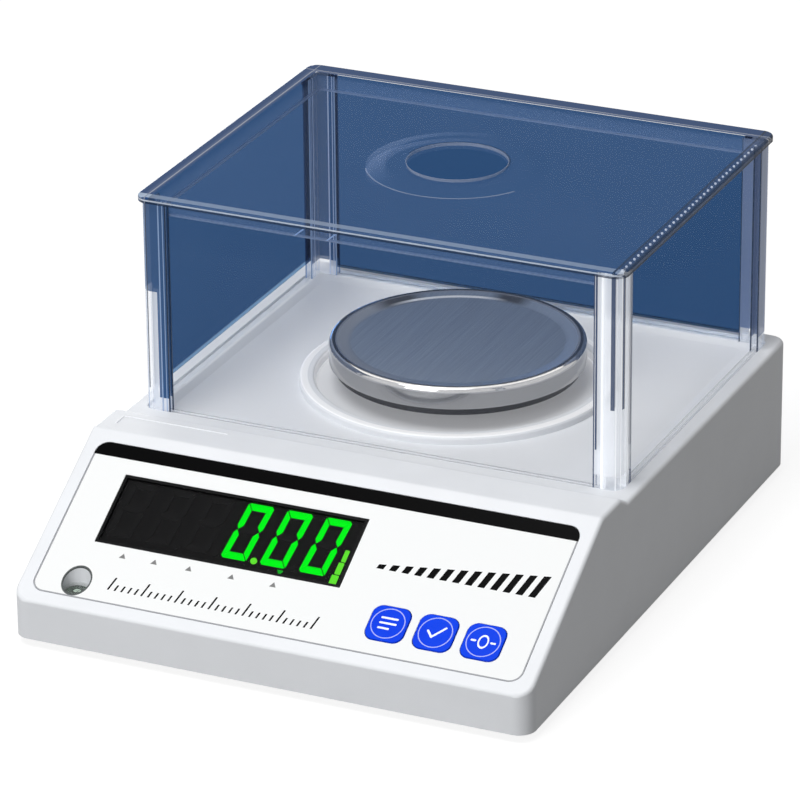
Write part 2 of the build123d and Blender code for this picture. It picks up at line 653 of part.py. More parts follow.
with BuildPart() as housing_screws:
    with BuildSketch(Plane.XY.offset(FLOOR_GAP + SCREW_FLUSH)):
        with Locations(*HOUSING_SCREWS):
            Circle(SCREW_HEAD_R)
    extrude(amount=SCREW_HEAD_H)
    with BuildSketch(Plane.XY.offset(FLOOR_GAP + SCREW_FLUSH)):
        with Locations(*HOUSING_SCREWS):
            Circle(SCREW_R)
    extrude(amount=SCREW_HEAD_H + SCREW_L - 0.5)
    with BuildSketch(Plane.XY.offset(FLOOR_GAP + SCREW_FLUSH)):
        with Locations(*HOUSING_SCREWS):
            RegularPolygon(radius=1.3, side_count=6)
    extrude(amount=1.0, mode=Mode.SUBTRACT)
keep(housing_screws, "housing_screws")

with BuildPart() as battery_cover:
    with BuildSketch(Plane.XY.offset(FLOOR_GAP)):
        with Locations((BATTERY_X, COVER_Y)):
            RectangleRounded(COVER_W, COVER_L, 1.0)
        with Locations((BATTERY_X, COVER_SCREW_Y)):
            Circle(SCREW_R + SCREW_CLEAR, mode=Mode.SUBTRACT)
    extrude(amount=COVER_T)
    # Sunk hole of its screw and a finger groove
    with BuildSketch(Plane.XY.offset(FLOOR_GAP)):
        with Locations((BATTERY_X, COVER_SCREW_Y)):
            Circle(SCREW_HEAD_R + SCREW_CLEAR)
        with Locations((BATTERY_X, COVER_Y + COVER_L / 2 - 8.0)):
            SlotOverall(14.0, 3.0)
    extrude(amount=1.0, mode=Mode.SUBTRACT)
keep(battery_cover, "battery_cover")

with BuildPart() as battery_cover_screw:
    with BuildSketch(Plane.XY.offset(FLOOR_GAP + SCREW_FLUSH)):
        with Locations((BATTERY_X, COVER_SCREW_Y)):
            Circle(SCREW_HEAD_R)
    extrude(amount=1.0 - SCREW_FLUSH)
    with BuildSketch(Plane.XY.offset(FLOOR_GAP + 1.0)):
        with Locations((BATTERY_X, COVER_SCREW_Y)):
            Circle(SCREW_R)
    extrude(amount=SCREW_L - 0.5)
keep(battery_cover_screw, "battery_cover_screw")

with BuildPart() as battery:
    with BuildSketch(Plane.XY.offset(FLOOR_GAP + COVER_T)):
        with Locations((BATTERY_X, BATTERY_Y)):
            Rectangle(BATTERY_W, BATTERY_L)
    extrude(amount=BATTERY_H)
    # Terminals on top
    first_tab_y = BATTERY_Y - BATTERY_L / 2 + BATTERY_TAB_IN
    with BuildSketch(Plane.XY.offset(FLOOR_GAP + COVER_T + BATTERY_H)):
        with Locations((BATTERY_X, first_tab_y), (BATTERY_X, first_tab_y + BATTERY_TAB_PITCH)):
            Rectangle(BATTERY_TAB_W, BATTERY_TAB_L)
    extrude(amount=BATTERY_TAB_H)
keep(battery, "battery")

# Overlay and what lies under the sloping panel
with BuildPart() as panel_overlay:
    with BuildSketch(slope_plane(OVERLAY_SINK)):
        with Locations((0, OVERLAY_S)):
            RectangleRounded(OVERLAY_W, OVERLAY_H, OVERLAY_R)
        with Locations((WINDOW_X, WINDOW_S)):
            Rectangle(WINDOW_W + 2 * WINDOW_CLEAR, WINDOW_H + 2 * WINDOW_CLEAR, mode=Mode.SUBTRACT)
        with Locations(*[(x, KEY_S) for x in KEY_PLACES.values()]):
            hole = KEY_SIZE + 2 * KEY_CLEAR
            RectangleRounded(hole, hole, KEY_R + KEY_CLEAR, mode=Mode.SUBTRACT)
    extrude(amount=-OVERLAY_T)
    with BuildSketch(Plane.XY.offset(LEVEL_TOP_Z - LEVEL_CUP_H)):
        with Locations((LEVEL_X, slope_y(LEVEL_S))):
            Circle(LEVEL_HOLE_R)
    extrude(amount=CONSOLE_H, mode=Mode.SUBTRACT)
keep(panel_overlay, "panel_overlay")

with BuildPart() as display_window:
    with BuildSketch(slope_plane(OVERLAY_SINK)):
        with Locations((WINDOW_X, WINDOW_S)):
            Rectangle(WINDOW_W, WINDOW_H)
    extrude(amount=-WINDOW_T)
keep(display_window, "display_window")

MODULE_W = WINDOW_W + 2 * MODULE_OVER
MODULE_H = WINDOW_H + MODULE_OVER
with BuildPart() as display_module:
    with BuildSketch(slope_plane(MODULE_DEPTH)):
        with Locations((WINDOW_X, WINDOW_S)):
            Rectangle(MODULE_W, MODULE_H)
    extrude(amount=-MODULE_T)
keep(display_module, "display_module")


def segment(kind):
    """Corners of one bar of a digit about its middle, leant to the right; a to f run round from the top."""
    side, top = DIGIT_W / 2, DIGIT_H / 2
    # Bars meet on a mitre from the outer corner, which is cut off, to the inner one
    miter = math.hypot(SEGMENT_W, SEGMENT_H)
    back_x, back_s = SEGMENT_H / miter * SEGMENT_GAP / 2, SEGMENT_W / miter * SEGMENT_GAP / 2
    cut = CORNER_CUT * SEGMENT_W / (SEGMENT_W + SEGMENT_H)
    outer = (side - cut, top - CORNER_CUT + cut)
    inner = (side - SEGMENT_W, top - SEGMENT_H)
    flip_x = -1 if kind in "ef" else 1
    flip_s = -1 if kind in "cde" else 1
    if kind in "ad":
        half = [(side - CORNER_CUT, top), (outer[0] - back_x, outer[1] + back_s)]
        half.append((inner[0] - back_x, inner[1] + back_s))
        corners = half + [(-x, s) for x, s in reversed(half)]
    elif kind == "g":
        end, rise = side - SEGMENT_W / 2, SEGMENT_H / 2
        half = [(end, 0), (end - rise, -rise), (rise - end, -rise)]
        corners = [(x, s + MIDDLE_RISE) for x, s in half + [(-x, -s) for x, s in half]]
    else:
        low = MIDDLE_RISE * flip_s
        corners = [
            (outer[0] + back_x, outer[1] - back_s),
            (side, top - CORNER_CUT),
            (side, low + TIP_OUT),
            (side - TIP_SIDE, low + SEGMENT_GAP),
            (side - SEGMENT_W, low + TIP_IN),
            (inner[0] + back_x, inner[1] - back_s),
        ]
    corners = [(x * flip_x, s * flip_s) for x, s in corners]
    if flip_x * flip_s < 0:
        corners.reverse()
    lean = math.tan(math.radians(DIGIT_LEAN))
    return [(x + s * lean, s) for x, s in corners]


def draw_segments(kinds, place):
    """Adds the bars of one digit to the sketch being drawn."""
    x0 = DIGIT_X + (place - DIGITS // 2) * DIGIT_PITCH
    for kind in kinds:
        Polygon(*[(x0 + x, DIGIT_S + s) for x, s in segment(kind)], align=None)


def point_place(place):
    """Middle of the decimal point after a digit."""
    return (DIGIT_X + (place - DIGITS // 2) * DIGIT_PITCH + POINT_X, POINT_S)


with BuildPart() as display_digits:
    with BuildSketch(slope_plane(MODULE_DEPTH)):
        for place in range(DIGITS // 2, DIGITS):
            draw_segments("abcdef", place)
        with Locations(point_place(DIGITS // 2)):
            Circle(POINT_R)
        with Locations((MARK_X, MARK_S)):
            RegularPolygon(radius=MARK_SIZE / 2, side_count=3, rotation=30)
        for step, width in enumerate(BAR_WIDTHS):
            with Locations((BAR_RIGHT - width / 2, BAR_LOW + step * BAR_STEP + (BAR_STEP - BAR_GAP) / 2)):
                Rectangle(width, BAR_STEP - BAR_GAP)
    extrude(amount=SEGMENT_T)
keep(display_digits, "display_digits")

with BuildPart() as display_ghosts:
    with BuildSketch(slope_plane(MODULE_DEPTH)):
        for place in range(DIGITS):
            draw_segments("abcdefg" if place < DIGITS // 2 else "g", place)
        with Locations(*[point_place(place) for place in range(DIGITS - 1) if place != DIGITS // 2]):
            Circle(POINT_R)
    extrude(amount=SEGMENT_T)
keep(display_ghosts, "display_ghosts")

with BuildPart() as display_board:
    with BuildSketch(slope_plane(BOARD_DEPTH)) as board_view:
        height = DISPLAY_BOARD_HIGH - DISPLAY_BOARD_LOW
        with Locations((0, DISPLAY_BOARD_LOW + height / 2)):
            Rectangle(DISPLAY_BOARD_W, height)
        with Locations((BOARD_NOTCH_W / 2 - DISPLAY_BOARD_W / 2, DISPLAY_BOARD_LOW + BOARD_NOTCH_H / 2)):
            Rectangle(BOARD_NOTCH_W, BOARD_NOTCH_H, mode=Mode.SUBTRACT)
        with Locations(*BOARD_HOLES):
            Circle(SCREW_R + SCREW_CLEAR, mode=Mode.SUBTRACT)
    extrude(amount=-BOARD_T)
    # Header on its back for the ribbon cable
    with BuildSketch(slope_plane(BOARD_DEPTH + BOARD_T)):
        with Locations((RIBBON_X, HEADER_S)):
            Rectangle(RIBBON_W + 4.0, HEADER_W)
    extrude(amount=-HEADER_H)
keep(display_board, "display_board")

with BuildPart() as key_switches:
    with BuildSketch(slope_plane(BOARD_DEPTH)):
        with Locations(*[(x, KEY_S) for x in KEY_PLACES.values()]):
            RectangleRounded(SWITCH_SIZE, SWITCH_SIZE, 0.6)
    extrude(amount=SWITCH_H)
    with BuildSketch(slope_plane(BOARD_DEPTH - SWITCH_H)):
        with Locations(*[(x, KEY_S) for x in KEY_PLACES.values()]):
            Circle(STEM_R + SWITCH_BORE_CLEAR)
    extrude(amount=-(STEM_ENTRY + KEY_TRAVEL + SEAT_GAP), mode=Mode.SUBTRACT)
keep(key_switches, "key_switches")

for name, x in KEY_PLACES.items():
    with BuildPart() as key:
        with BuildSketch(slope_plane(OVERLAY_SINK - KEY_PROUD)):
            with Locations((x, KEY_S)):
                RectangleRounded(KEY_SIZE, KEY_SIZE, KEY_R)
        extrude(amount=-(KEY_PROUD - OVERLAY_SINK + WALL + SEAT_GAP))
        fillet(key.faces().sort_by(Axis((0, 0, 0), slope_plane().z_dir))[-1].edges(), 0.5)
        with BuildSketch(slope_plane(WALL + SEAT_GAP)):
            with Locations((x, KEY_S)):
                RectangleRounded(KEY_SIZE, KEY_SIZE + 2 * KEY_FLANGE, 1.0)
        extrude(amount=-KEY_FLANGE_T)
        with BuildSketch(slope_plane(WALL + SEAT_GAP)):
            with Locations((x, KEY_S)):
                Circle(STEM_R)
        extrude(amount=-(BOARD_DEPTH - SWITCH_H - WALL - SEAT_GAP + STEM_ENTRY))
    keep(key, f"key_{name}")

# Spirit level: cup, liquid, bubble and lens
LEVEL_Z = LEVEL_TOP_Z - LEVEL_CUP_H
LEVEL_OUT_R = LEVEL_HOLE_R - LEVEL_CLEAR
LEVEL_IN_R = LEVEL_OUT_R - LEVEL_CUP_T
LEVEL_Y = slope_y(LEVEL_S)
BUBBLE_R = 1.7
BUBBLE_H = 1.2
with BuildPart() as level_cup:
    with BuildSketch(Plane.XY.offset(LEVEL_Z)):
        with Locations((LEVEL_X, LEVEL_Y)):
            Circle(LEVEL_OUT_R)
    extrude(amount=LEVEL_CUP_H)
    with BuildSketch(Plane.XY.offset(LEVEL_Z + LEVEL_FLOOR_T)):
        with Locations((LEVEL_X, LEVEL_Y)):
            Circle(LEVEL_IN_R)
    extrude(amount=LEVEL_CUP_H, mode=Mode.SUBTRACT)
keep(level_cup, "level_cup")

with BuildPart() as level_lens:
    with BuildSketch(Plane.XY.offset(LEVEL_TOP_Z - LEVEL_LENS_T)):
        with Locations((LEVEL_X, LEVEL_Y)):
            Circle(LEVEL_IN_R)
    extrude(amount=LEVEL_LENS_T)
keep(level_lens, "level_lens")

with BuildPart() as level_bubble:
    with BuildSketch(Plane.XY.offset(LEVEL_TOP_Z - LEVEL_LENS_T - BUBBLE_H)):
        with Locations((LEVEL_X, LEVEL_Y)):
            Circle(BUBBLE_R)
    extrude(amount=BUBBLE_H)
    fillet(level_bubble.edges().group_by(Axis.Z)[0], 0.9)
keep(level_bubble, "level_bubble")

with BuildPart() as level_liquid:
    with BuildSketch(Plane.XY.offset(LEVEL_Z + LEVEL_FLOOR_T)):
        with Locations((LEVEL_X, LEVEL_Y)):
            Circle(LEVEL_IN_R)
    extrude(amount=LEVEL_CUP_H - LEVEL_FLOOR_T - LEVEL_LENS_T)
    add(level_bubble.part, mode=Mode.SUBTRACT)
keep(level_liquid, "level_liquid")

# Main board with its parts, and the screws of both boards
BOARD_Z = PLATE_Z + STANDOFF_H
BOARD_TOP_Z = BOARD_Z + BOARD_T
with BuildPart() as main_board:
    with BuildSketch(Plane.XY.offset(BOARD_Z)):
        with Locations((MAIN_BOARD_X, MAIN_BOARD_Y)):
            Rectangle(MAIN_BOARD_W, MAIN_BOARD_D)
        with Locations(*STANDOFFS):
            Circle(SCREW_R + SCREW_CLEAR, mode=Mode.SUBTRACT)
    extrude(amount=BOARD_T)
keep(main_board, "main_board")

BOARD_BLOCKS = [
    (-12.0, 2.0, 14.0, 14.0, 1.6),
    (14.0, 10.0, 9.0, 7.0, 1.4),
    (30.0, -8.0, 12.0, 8.0, 4.0),
    (CABLE_PLUG_X, CABLE_PLUG_Y, 12.0, CABLE_PLUG_W, CABLE_PLUG_H),
    (SOCKET_X, SOCKET_Y, RIBBON_W + 4.0, 5.0, SOCKET_H),
    (-34.0, -12.0, 12.0, 9.0, 5.0),
]
BOARD_CANS = [(8.0, -12.0, 4.0, 11.0), (18.0, -12.0, 4.0, 11.0), (-20.0, -17.0, 6.0, 8.0)]
with BuildPart() as main_board_parts:
    for x, y, width, depth, height in BOARD_BLOCKS:
        with BuildSketch(Plane.XY.offset(BOARD_TOP_Z)):
            with Locations((MAIN_BOARD_X + x, MAIN_BOARD_Y + y)):
                Rectangle(width, depth)
        extrude(amount=height)
    for x, y, radius, height in BOARD_CANS:
        with BuildSketch(Plane.XY.offset(BOARD_TOP_Z)):
            with Locations((MAIN_BOARD_X + x, MAIN_BOARD_Y + y)):
                Circle(radius)
        extrude(amount=height)
keep(main_board_parts, "main_board_parts")

with BuildPart() as board_screws:
    with BuildSketch(Plane.XY.offset(BOARD_TOP_Z)):
        with Locations(*STANDOFFS):
            Circle(SCREW_HEAD_R)
    extrude(amount=SCREW_HEAD_H)
    with BuildSketch(Plane.XY.offset(BOARD_TOP_Z)):
        with Locations(*STANDOFFS):
            Circle(SCREW_R)
    extrude(amount=-BOARD_SCREW_L)
    with BuildSketch(slope_plane(BOARD_DEPTH + BOARD_T)):
        with Locations(*BOARD_HOLES):
            Circle(SCREW_HEAD_R)
    extrude(amount=-SCREW_HEAD_H)
    with BuildSketch(slope_plane(BOARD_DEPTH + BOARD_T)):
        with Locations(*BOARD_HOLES):
            Circle(SCREW_R)
    extrude(amount=BOARD_SCREW_L)
keep(board_screws, "board_screws")

# Ribbon cable between the boards
HEADER_DEPTH = BOARD_DEPTH + BOARD_T + HEADER_H
RIBBON_RUN = 10.0
SOCKET_TOP_Z = BOARD_TOP_Z + SOCKET_H
ribbon_top_y = slope_y(HEADER_S, HEADER_DEPTH)
ribbon_top_z = FRONT_TOP_Z + HEADER_S * SLOPE_SIN - HEADER_DEPTH * SLOPE_COS
with BuildPart() as ribbon_cable:
    with BuildSketch(Plane.YZ.offset(RIBBON_X)):
        with BuildLine():
            FilletPolyline(
                (ribbon_top_y, ribbon_top_z),
                (ribbon_top_y + RIBBON_RUN * SLOPE_SIN, ribbon_top_z - RIBBON_RUN * SLOPE_COS),
                (MAIN_BOARD_Y + SOCKET_Y, SOCKET_TOP_Z + RIBBON_RUN),
                (MAIN_BOARD_Y + SOCKET_Y, SOCKET_TOP_Z),
                radius=RIBBON_BEND,
            )
        trace(line_width=RIBBON_T)
    extrude(amount=RIBBON_W / 2, both=True)
keep(ribbon_cable, "ribbon_cable")

# Chassis, load cell and its screws
CELL_FRONT_Y = PAN_Y - CELL_L / 2
FIXED_SCREWS = [(0, CELL_FRONT_Y + CELL_END / 2 + side * CELL_HOLE_PITCH / 2) for side in (-1, 1)]
FREE_SCREWS = [(0, CELL_FRONT_Y + CELL_L - CELL_END / 2 + side * CELL_HOLE_PITCH / 2) for side in (-1, 1)]
FIXED_END_Z = PLATE_Z + 0.5
with BuildPart() as chassis:
    with BuildSketch(Plane.XY.offset(PLATE_Z)):
        with Locations((0, PAN_Y)):
            RectangleRounded(CHASSIS_W, CHASSIS_L, CHASSIS_R)
        with Locations(*CHASSIS_HOLES):
            Circle(SCREW_R + SCREW_CLEAR, mode=Mode.SUBTRACT)
        with Locations(*FIXED_SCREWS):
            Circle(CELL_SCREW_R + FIT, mode=Mode.SUBTRACT)
    extrude(amount=CHASSIS_T)
keep(chassis, "chassis")

with BuildPart() as chassis_screws:
    with BuildSketch(Plane.XY.offset(PLATE_Z + CHASSIS_T)):
        with Locations(*CHASSIS_HOLES):
            Circle(SCREW_HEAD_R)
    extrude(amount=SCREW_HEAD_H)
    with BuildSketch(Plane.XY.offset(PLATE_Z + CHASSIS_T)):
        with Locations(*CHASSIS_HOLES):
            Circle(SCREW_R)
    extrude(amount=-CHASSIS_SCREW_L)
keep(chassis_screws, "chassis_screws")

with BuildPart() as cell_spacer:
    with BuildSketch(Plane.XY.offset(PLATE_Z + CHASSIS_T)):
        with Locations((0, CELL_FRONT_Y + CELL_END / 2)):
            Rectangle(CELL_W, CELL_END)
        with Locations(*FIXED_SCREWS):
            Circle(CELL_SCREW_R + FIT, mode=Mode.SUBTRACT)
    extrude(amount=SPACER_T)
keep(cell_spacer, "cell_spacer")

with BuildPart() as load_cell:
    with BuildSketch(Plane.XY.offset(CELL_Z)):
        with Locations((0, PAN_Y)):
            Rectangle(CELL_W, CELL_L)
        with Locations(*FIXED_SCREWS):
            Circle(CELL_SCREW_R + FIT, mode=Mode.SUBTRACT)
        with Locations(*FREE_SCREWS):
            Circle(CELL_SCREW_R + CELL_SCREW_CLEAR, mode=Mode.SUBTRACT)
    extrude(amount=CELL_H)
    # Two round eyes joined by a slot leave the thin places that bend
    with BuildSketch(Plane.YZ):
        with Locations(*[(PAN_Y + side * CELL_EYE_PITCH / 2, CELL_Z + CELL_H / 2) for side in (-1, 1)]):
            Circle(CELL_EYE_R)
        with Locations((PAN_Y, CELL_Z + CELL_H / 2)):
            Rectangle(CELL_EYE_PITCH, CELL_SLOT_H)
    extrude(amount=CELL_W / 2, both=True, mode=Mode.SUBTRACT)
keep(load_cell, "load_cell")

with BuildPart() as gauge_covers:
    with BuildSketch(Plane.XY.offset(CELL_TOP_Z)):
        with Locations((0, PAN_Y)):
            RectangleRounded(GAUGE_W, GAUGE_L, 2.0)
    extrude(amount=GAUGE_T)
    with BuildSketch(Plane.XY.offset(CELL_Z)):
        with Locations((0, PAN_Y)):
            RectangleRounded(GAUGE_W, GAUGE_L, 2.0)
    extrude(amount=-GAUGE_T)
keep(gauge_covers, "gauge_covers")

with BuildPart() as cell_screws:
    with BuildSketch(Plane.XY.offset(CELL_TOP_Z)):
        with Locations(*FIXED_SCREWS):
            Circle(CELL_SCREW_HEAD_R)
    extrude(amount=CELL_SCREW_HEAD_H)
    with BuildSketch(Plane.XY.offset(CELL_TOP_Z)):
        with Locations(*FIXED_SCREWS):
            Circle(CELL_SCREW_R)
    extrude(amount=FIXED_END_Z - CELL_TOP_Z)
keep(cell_screws, "cell_screws")

# Cable from the load cell's fixed end to the main board
CABLE_Z = CELL_Z + CELL_H / 2
PLUG_Z = BOARD_TOP_Z + CABLE_PLUG_H / 2
PLUG_BACK_Y = MAIN_BOARD_Y + CABLE_PLUG_Y + CABLE_PLUG_W / 2
with BuildPart() as cell_cable:
    with BuildLine() as cable_path:
        FilletPolyline(
            (0, CELL_FRONT_Y, CABLE_Z),
            (0, CELL_FRONT_Y - CELL_CABLE_OUT, CABLE_Z),
            (MAIN_BOARD_X + CABLE_PLUG_X, PLUG_BACK_Y + PLUG_RUN, PLUG_Z),
            (MAIN_BOARD_X + CABLE_PLUG_X, PLUG_BACK_Y, PLUG_Z),
            radius=CELL_CABLE_BEND,
        )
    with BuildSketch(Plane.XZ.offset(-CELL_FRONT_Y)):
        with Locations((0, CABLE_Z)):
            Circle(CELL_CABLE_R)
    sweep(path=cable_path.wire())
keep(cell_cable, "cell_cable")

with BuildPart() as overload_stops:
    with BuildSketch(Plane.XY.offset(PLATE_Z + CHASSIS_T)):
        with Locations((-STOP_X, PAN_Y), (STOP_X, PAN_Y)):
            RegularPolygon(radius=STOP_R, side_count=6)
    extrude(amount=CARRIER_Z - STOP_GAP - PLATE_Z - CHASSIS_T)
keep(overload_stops, "overload_stops")

# Moving platform: carrier, pan support, their screws and the pads under the pan
FREE_Y = CELL_FRONT_Y + CELL_L - CELL_END / 2
CARRIER_FOOT_Z = CELL_TOP_Z + PLATFORM_GAP
SUPPORT_SCREWS = [(side * SUPPORT_SCREW_PITCH / 2, PAN_Y) for side in (-1, 1)]
SUPPORT_HEAD_Z = SUPPORT_TOP_Z - SUPPORT_SCREW_SINK
with BuildPart() as platform_carrier:
    with BuildSketch(Plane.XY.offset(CARRIER_Z)):
        with Locations((0, PAN_Y)):
            Circle(CARRIER_HUB_R)
            Rectangle(2 * (STOP_X + STOP_R), CARRIER_EAR_W)
        with Locations((0, (PAN_Y + FREE_Y) / 2)):
            Rectangle(CARRIER_ARM_W, FREE_Y - PAN_Y)
        with Locations((0, FREE_Y)):
            Rectangle(CELL_W, CELL_END)
    extrude(amount=CARRIER_T)
    with BuildSketch(Plane.XY.offset(CARRIER_FOOT_Z)):
        with Locations((0, FREE_Y)):
            Rectangle(CELL_W, CELL_END)
    extrude(amount=CARRIER_Z - CARRIER_FOOT_Z)
    with BuildSketch(Plane.XY.offset(CARRIER_FOOT_Z)):
        with Locations(*FREE_SCREWS):
            Circle(CELL_SCREW_R + FIT)
    extrude(amount=CELL_SCREW_BITE, mode=Mode.SUBTRACT)
    with BuildSketch(Plane.XY.offset(CARRIER_Z)):
        with Locations(*SUPPORT_SCREWS):
            Circle(SUPPORT_SCREW_R + FIT)
    extrude(amount=CARRIER_T, mode=Mode.SUBTRACT)
keep(platform_carrier, "platform_carrier")

with BuildPart() as platform_screws:
    with BuildSketch(Plane.XY.offset(CELL_Z - HEAD_GAP)):
        with Locations(*FREE_SCREWS):
            Circle(CELL_SCREW_HEAD_R)
    extrude(amount=-CELL_SCREW_HEAD_H)
    with BuildSketch(Plane.XY.offset(CELL_Z - HEAD_GAP)):
        with Locations(*FREE_SCREWS):
            Circle(CELL_SCREW_R)
    extrude(amount=CARRIER_FOOT_Z + CELL_SCREW_BITE - CELL_Z)
keep(platform_screws, "platform_screws")

PADS = [
    (PAD_RING_R * math.cos(angle), PAN_Y + PAD_RING_R * math.sin(angle))
    for angle in [math.radians(45 + 360 * i / PAD_COUNT) for i in range(PAD_COUNT)]
]
with BuildPart() as pan_support:
    with BuildSketch(Plane.XY.offset(SUPPORT_Z)):
        with Locations((0, PAN_Y)):
            Circle(SUPPORT_R)
    extrude(amount=SUPPORT_T)
    with BuildSketch(Plane.XY.offset(CARRIER_TOP_Z)):
        with Locations((0, PAN_Y)):
            Circle(HUB_R)
    extrude(amount=SUPPORT_Z - CARRIER_TOP_Z)
    with BuildSketch(Plane.XY.offset(SUPPORT_TOP_Z)):
        with Locations(*PADS):
            Circle(PAD_R + FIT)
    extrude(amount=-PAD_SINK, mode=Mode.SUBTRACT)
    with BuildSketch(Plane.XY.offset(SUPPORT_TOP_Z)):
        with Locations(*SUPPORT_SCREWS):
            Circle(SUPPORT_SCREW_HEAD_R + SCREW_CLEAR)
    extrude(amount=-SUPPORT_SCREW_SINK, mode=Mode.SUBTRACT)
    with BuildSketch(Plane.XY.offset(SUPPORT_TOP_Z)):
        with Locations(*SUPPORT_SCREWS):
            Circle(SUPPORT_SCREW_R + SCREW_CLEAR)
    extrude(amount=CARRIER_TOP_Z - SUPPORT_TOP_Z, mode=Mode.SUBTRACT)
keep(pan_support, "pan_support")

with BuildPart() as support_screws:
    with BuildSketch(Plane.XY.offset(SUPPORT_HEAD_Z)):
        with Locations(*SUPPORT_SCREWS):
            Circle(SUPPORT_SCREW_HEAD_R)
    extrude(amount=SUPPORT_SCREW_HEAD_H)
    with BuildSketch(Plane.XY.offset(SUPPORT_HEAD_Z)):
        with Locations(*SUPPORT_SCREWS):
            Circle(SUPPORT_SCREW_R)
    extrude(amount=-SUPPORT_SCREW_L)
keep(support_screws, "support_screws")

with BuildPart() as pan_pads:
    with BuildSketch(Plane.XY.offset(SUPPORT_TOP_Z - PAD_SINK)):
        with Locations(*PADS):
            Circle(PAD_R)
    extrude(amount=PAN_FLOOR_Z - PAN_T - SEAT_GAP - SUPPORT_TOP_Z + PAD_SINK)
keep(pan_pads, "pan_pads")

with BuildPart() as weighing_pan:
    with BuildSketch(Plane.XZ.offset(-PAN_Y)):
        with BuildLine():
            roll_r, roll_z = PAN_R - PAN_ROLL, PAN_TOP_Z - PAN_ROLL
            inner_roll = PAN_ROLL - PAN_T
            diagonal = math.sqrt(0.5)
            Polyline((0, PAN_FLOOR_Z), (PAN_FLAT_R, PAN_FLOOR_Z), (roll_r, PAN_TOP_Z))
            crest = (roll_r + PAN_ROLL * diagonal, roll_z + PAN_ROLL * diagonal)
            ThreePointArc((roll_r, PAN_TOP_Z), crest, (PAN_R, roll_z))
            Polyline((PAN_R, roll_z), (PAN_R, PAN_LOW_Z), (PAN_R - PAN_T, PAN_LOW_Z), (PAN_R - PAN_T, roll_z))
            under = (roll_r + inner_roll * diagonal, roll_z + inner_roll * diagonal)
            ThreePointArc((PAN_R - PAN_T, roll_z), under, (roll_r, PAN_TOP_Z - PAN_T))
            floor_z = PAN_FLOOR_Z - PAN_T
            Polyline((roll_r, PAN_TOP_Z - PAN_T), (PAN_FLAT_R, floor_z), (0, floor_z), (0, PAN_FLOOR_Z))
        make_face()
    revolve(axis=Axis((0, PAN_Y, 0), (0, 0, 1)))
keep(weighing_pan, "weighing_pan")

# Draught shield: slotted corner posts, panels and lid
POST_H = POST_TOP_Z - SHIELD_Z
SLOT_W = PANEL_T + 2 * SLOT_CLEAR
SHIELD_FRONT_Y = SHIELD_Y - SHIELD_D / 2
SHIELD_BACK_Y = SHIELD_Y + SHIELD_D / 2
for name, (sx, sy) in FOOT_PLACES.items():
    corner_x = sx * SHIELD_W / 2
    corner_y = SHIELD_Y + sy * SHIELD_D / 2
    with BuildPart() as post:
        with BuildSketch(Plane.XY.offset(SHIELD_Z)) as post_view:
            with Locations((corner_x - sx * POST_LEG / 2, corner_y - sy * POST_LEG / 2)):
                Rectangle(POST_LEG, POST_LEG)
            outer = post_view.vertices().sort_by_distance((corner_x, corner_y))[0]
            fillet(outer, POST_R)
            inside = POST_LEG - POST_T
            with Locations((corner_x - sx * (POST_T + inside / 2), corner_y - sy * (POST_T + inside / 2))):
                Rectangle(inside, inside, mode=Mode.SUBTRACT)
            with Locations((corner_x - sx * (POST_LEG - SLOT_DEPTH / 2), corner_y - sy * POST_T / 2)):
                Rectangle(SLOT_DEPTH, SLOT_W, mode=Mode.SUBTRACT)
            with Locations((corner_x - sx * POST_T / 2, corner_y - sy * (POST_LEG - SLOT_DEPTH / 2))):
                Rectangle(SLOT_W, SLOT_DEPTH, mode=Mode.SUBTRACT)
        extrude(amount=POST_H)
    keep(post, f"shield_post_{name}")

WIDE_PANEL = SHIELD_W - 2 * (POST_LEG - SLOT_DEPTH + SLOT_CLEAR)
LONG_PANEL = SHIELD_D - 2 * (POST_LEG - SLOT_DEPTH + SLOT_CLEAR)
PANELS = {
    "front": (0, SHIELD_FRONT_Y + POST_T / 2, WIDE_PANEL, PANEL_T),
    "rear": (0, SHIELD_BACK_Y - POST_T / 2, WIDE_PANEL, PANEL_T),
    "left": (POST_T / 2 - SHIELD_W / 2, SHIELD_Y, PANEL_T, LONG_PANEL),
    "right": (SHIELD_W / 2 - POST_T / 2, SHIELD_Y, PANEL_T, LONG_PANEL),
}
for name, (x, y, width, depth) in PANELS.items():
    with BuildPart() as panel:
        with BuildSketch(Plane.XY.offset(SHIELD_Z)):
            with Locations((x, y)):
                Rectangle(width, depth)
        extrude(amount=POST_H)
    keep(panel, f"shield_panel_{name}")

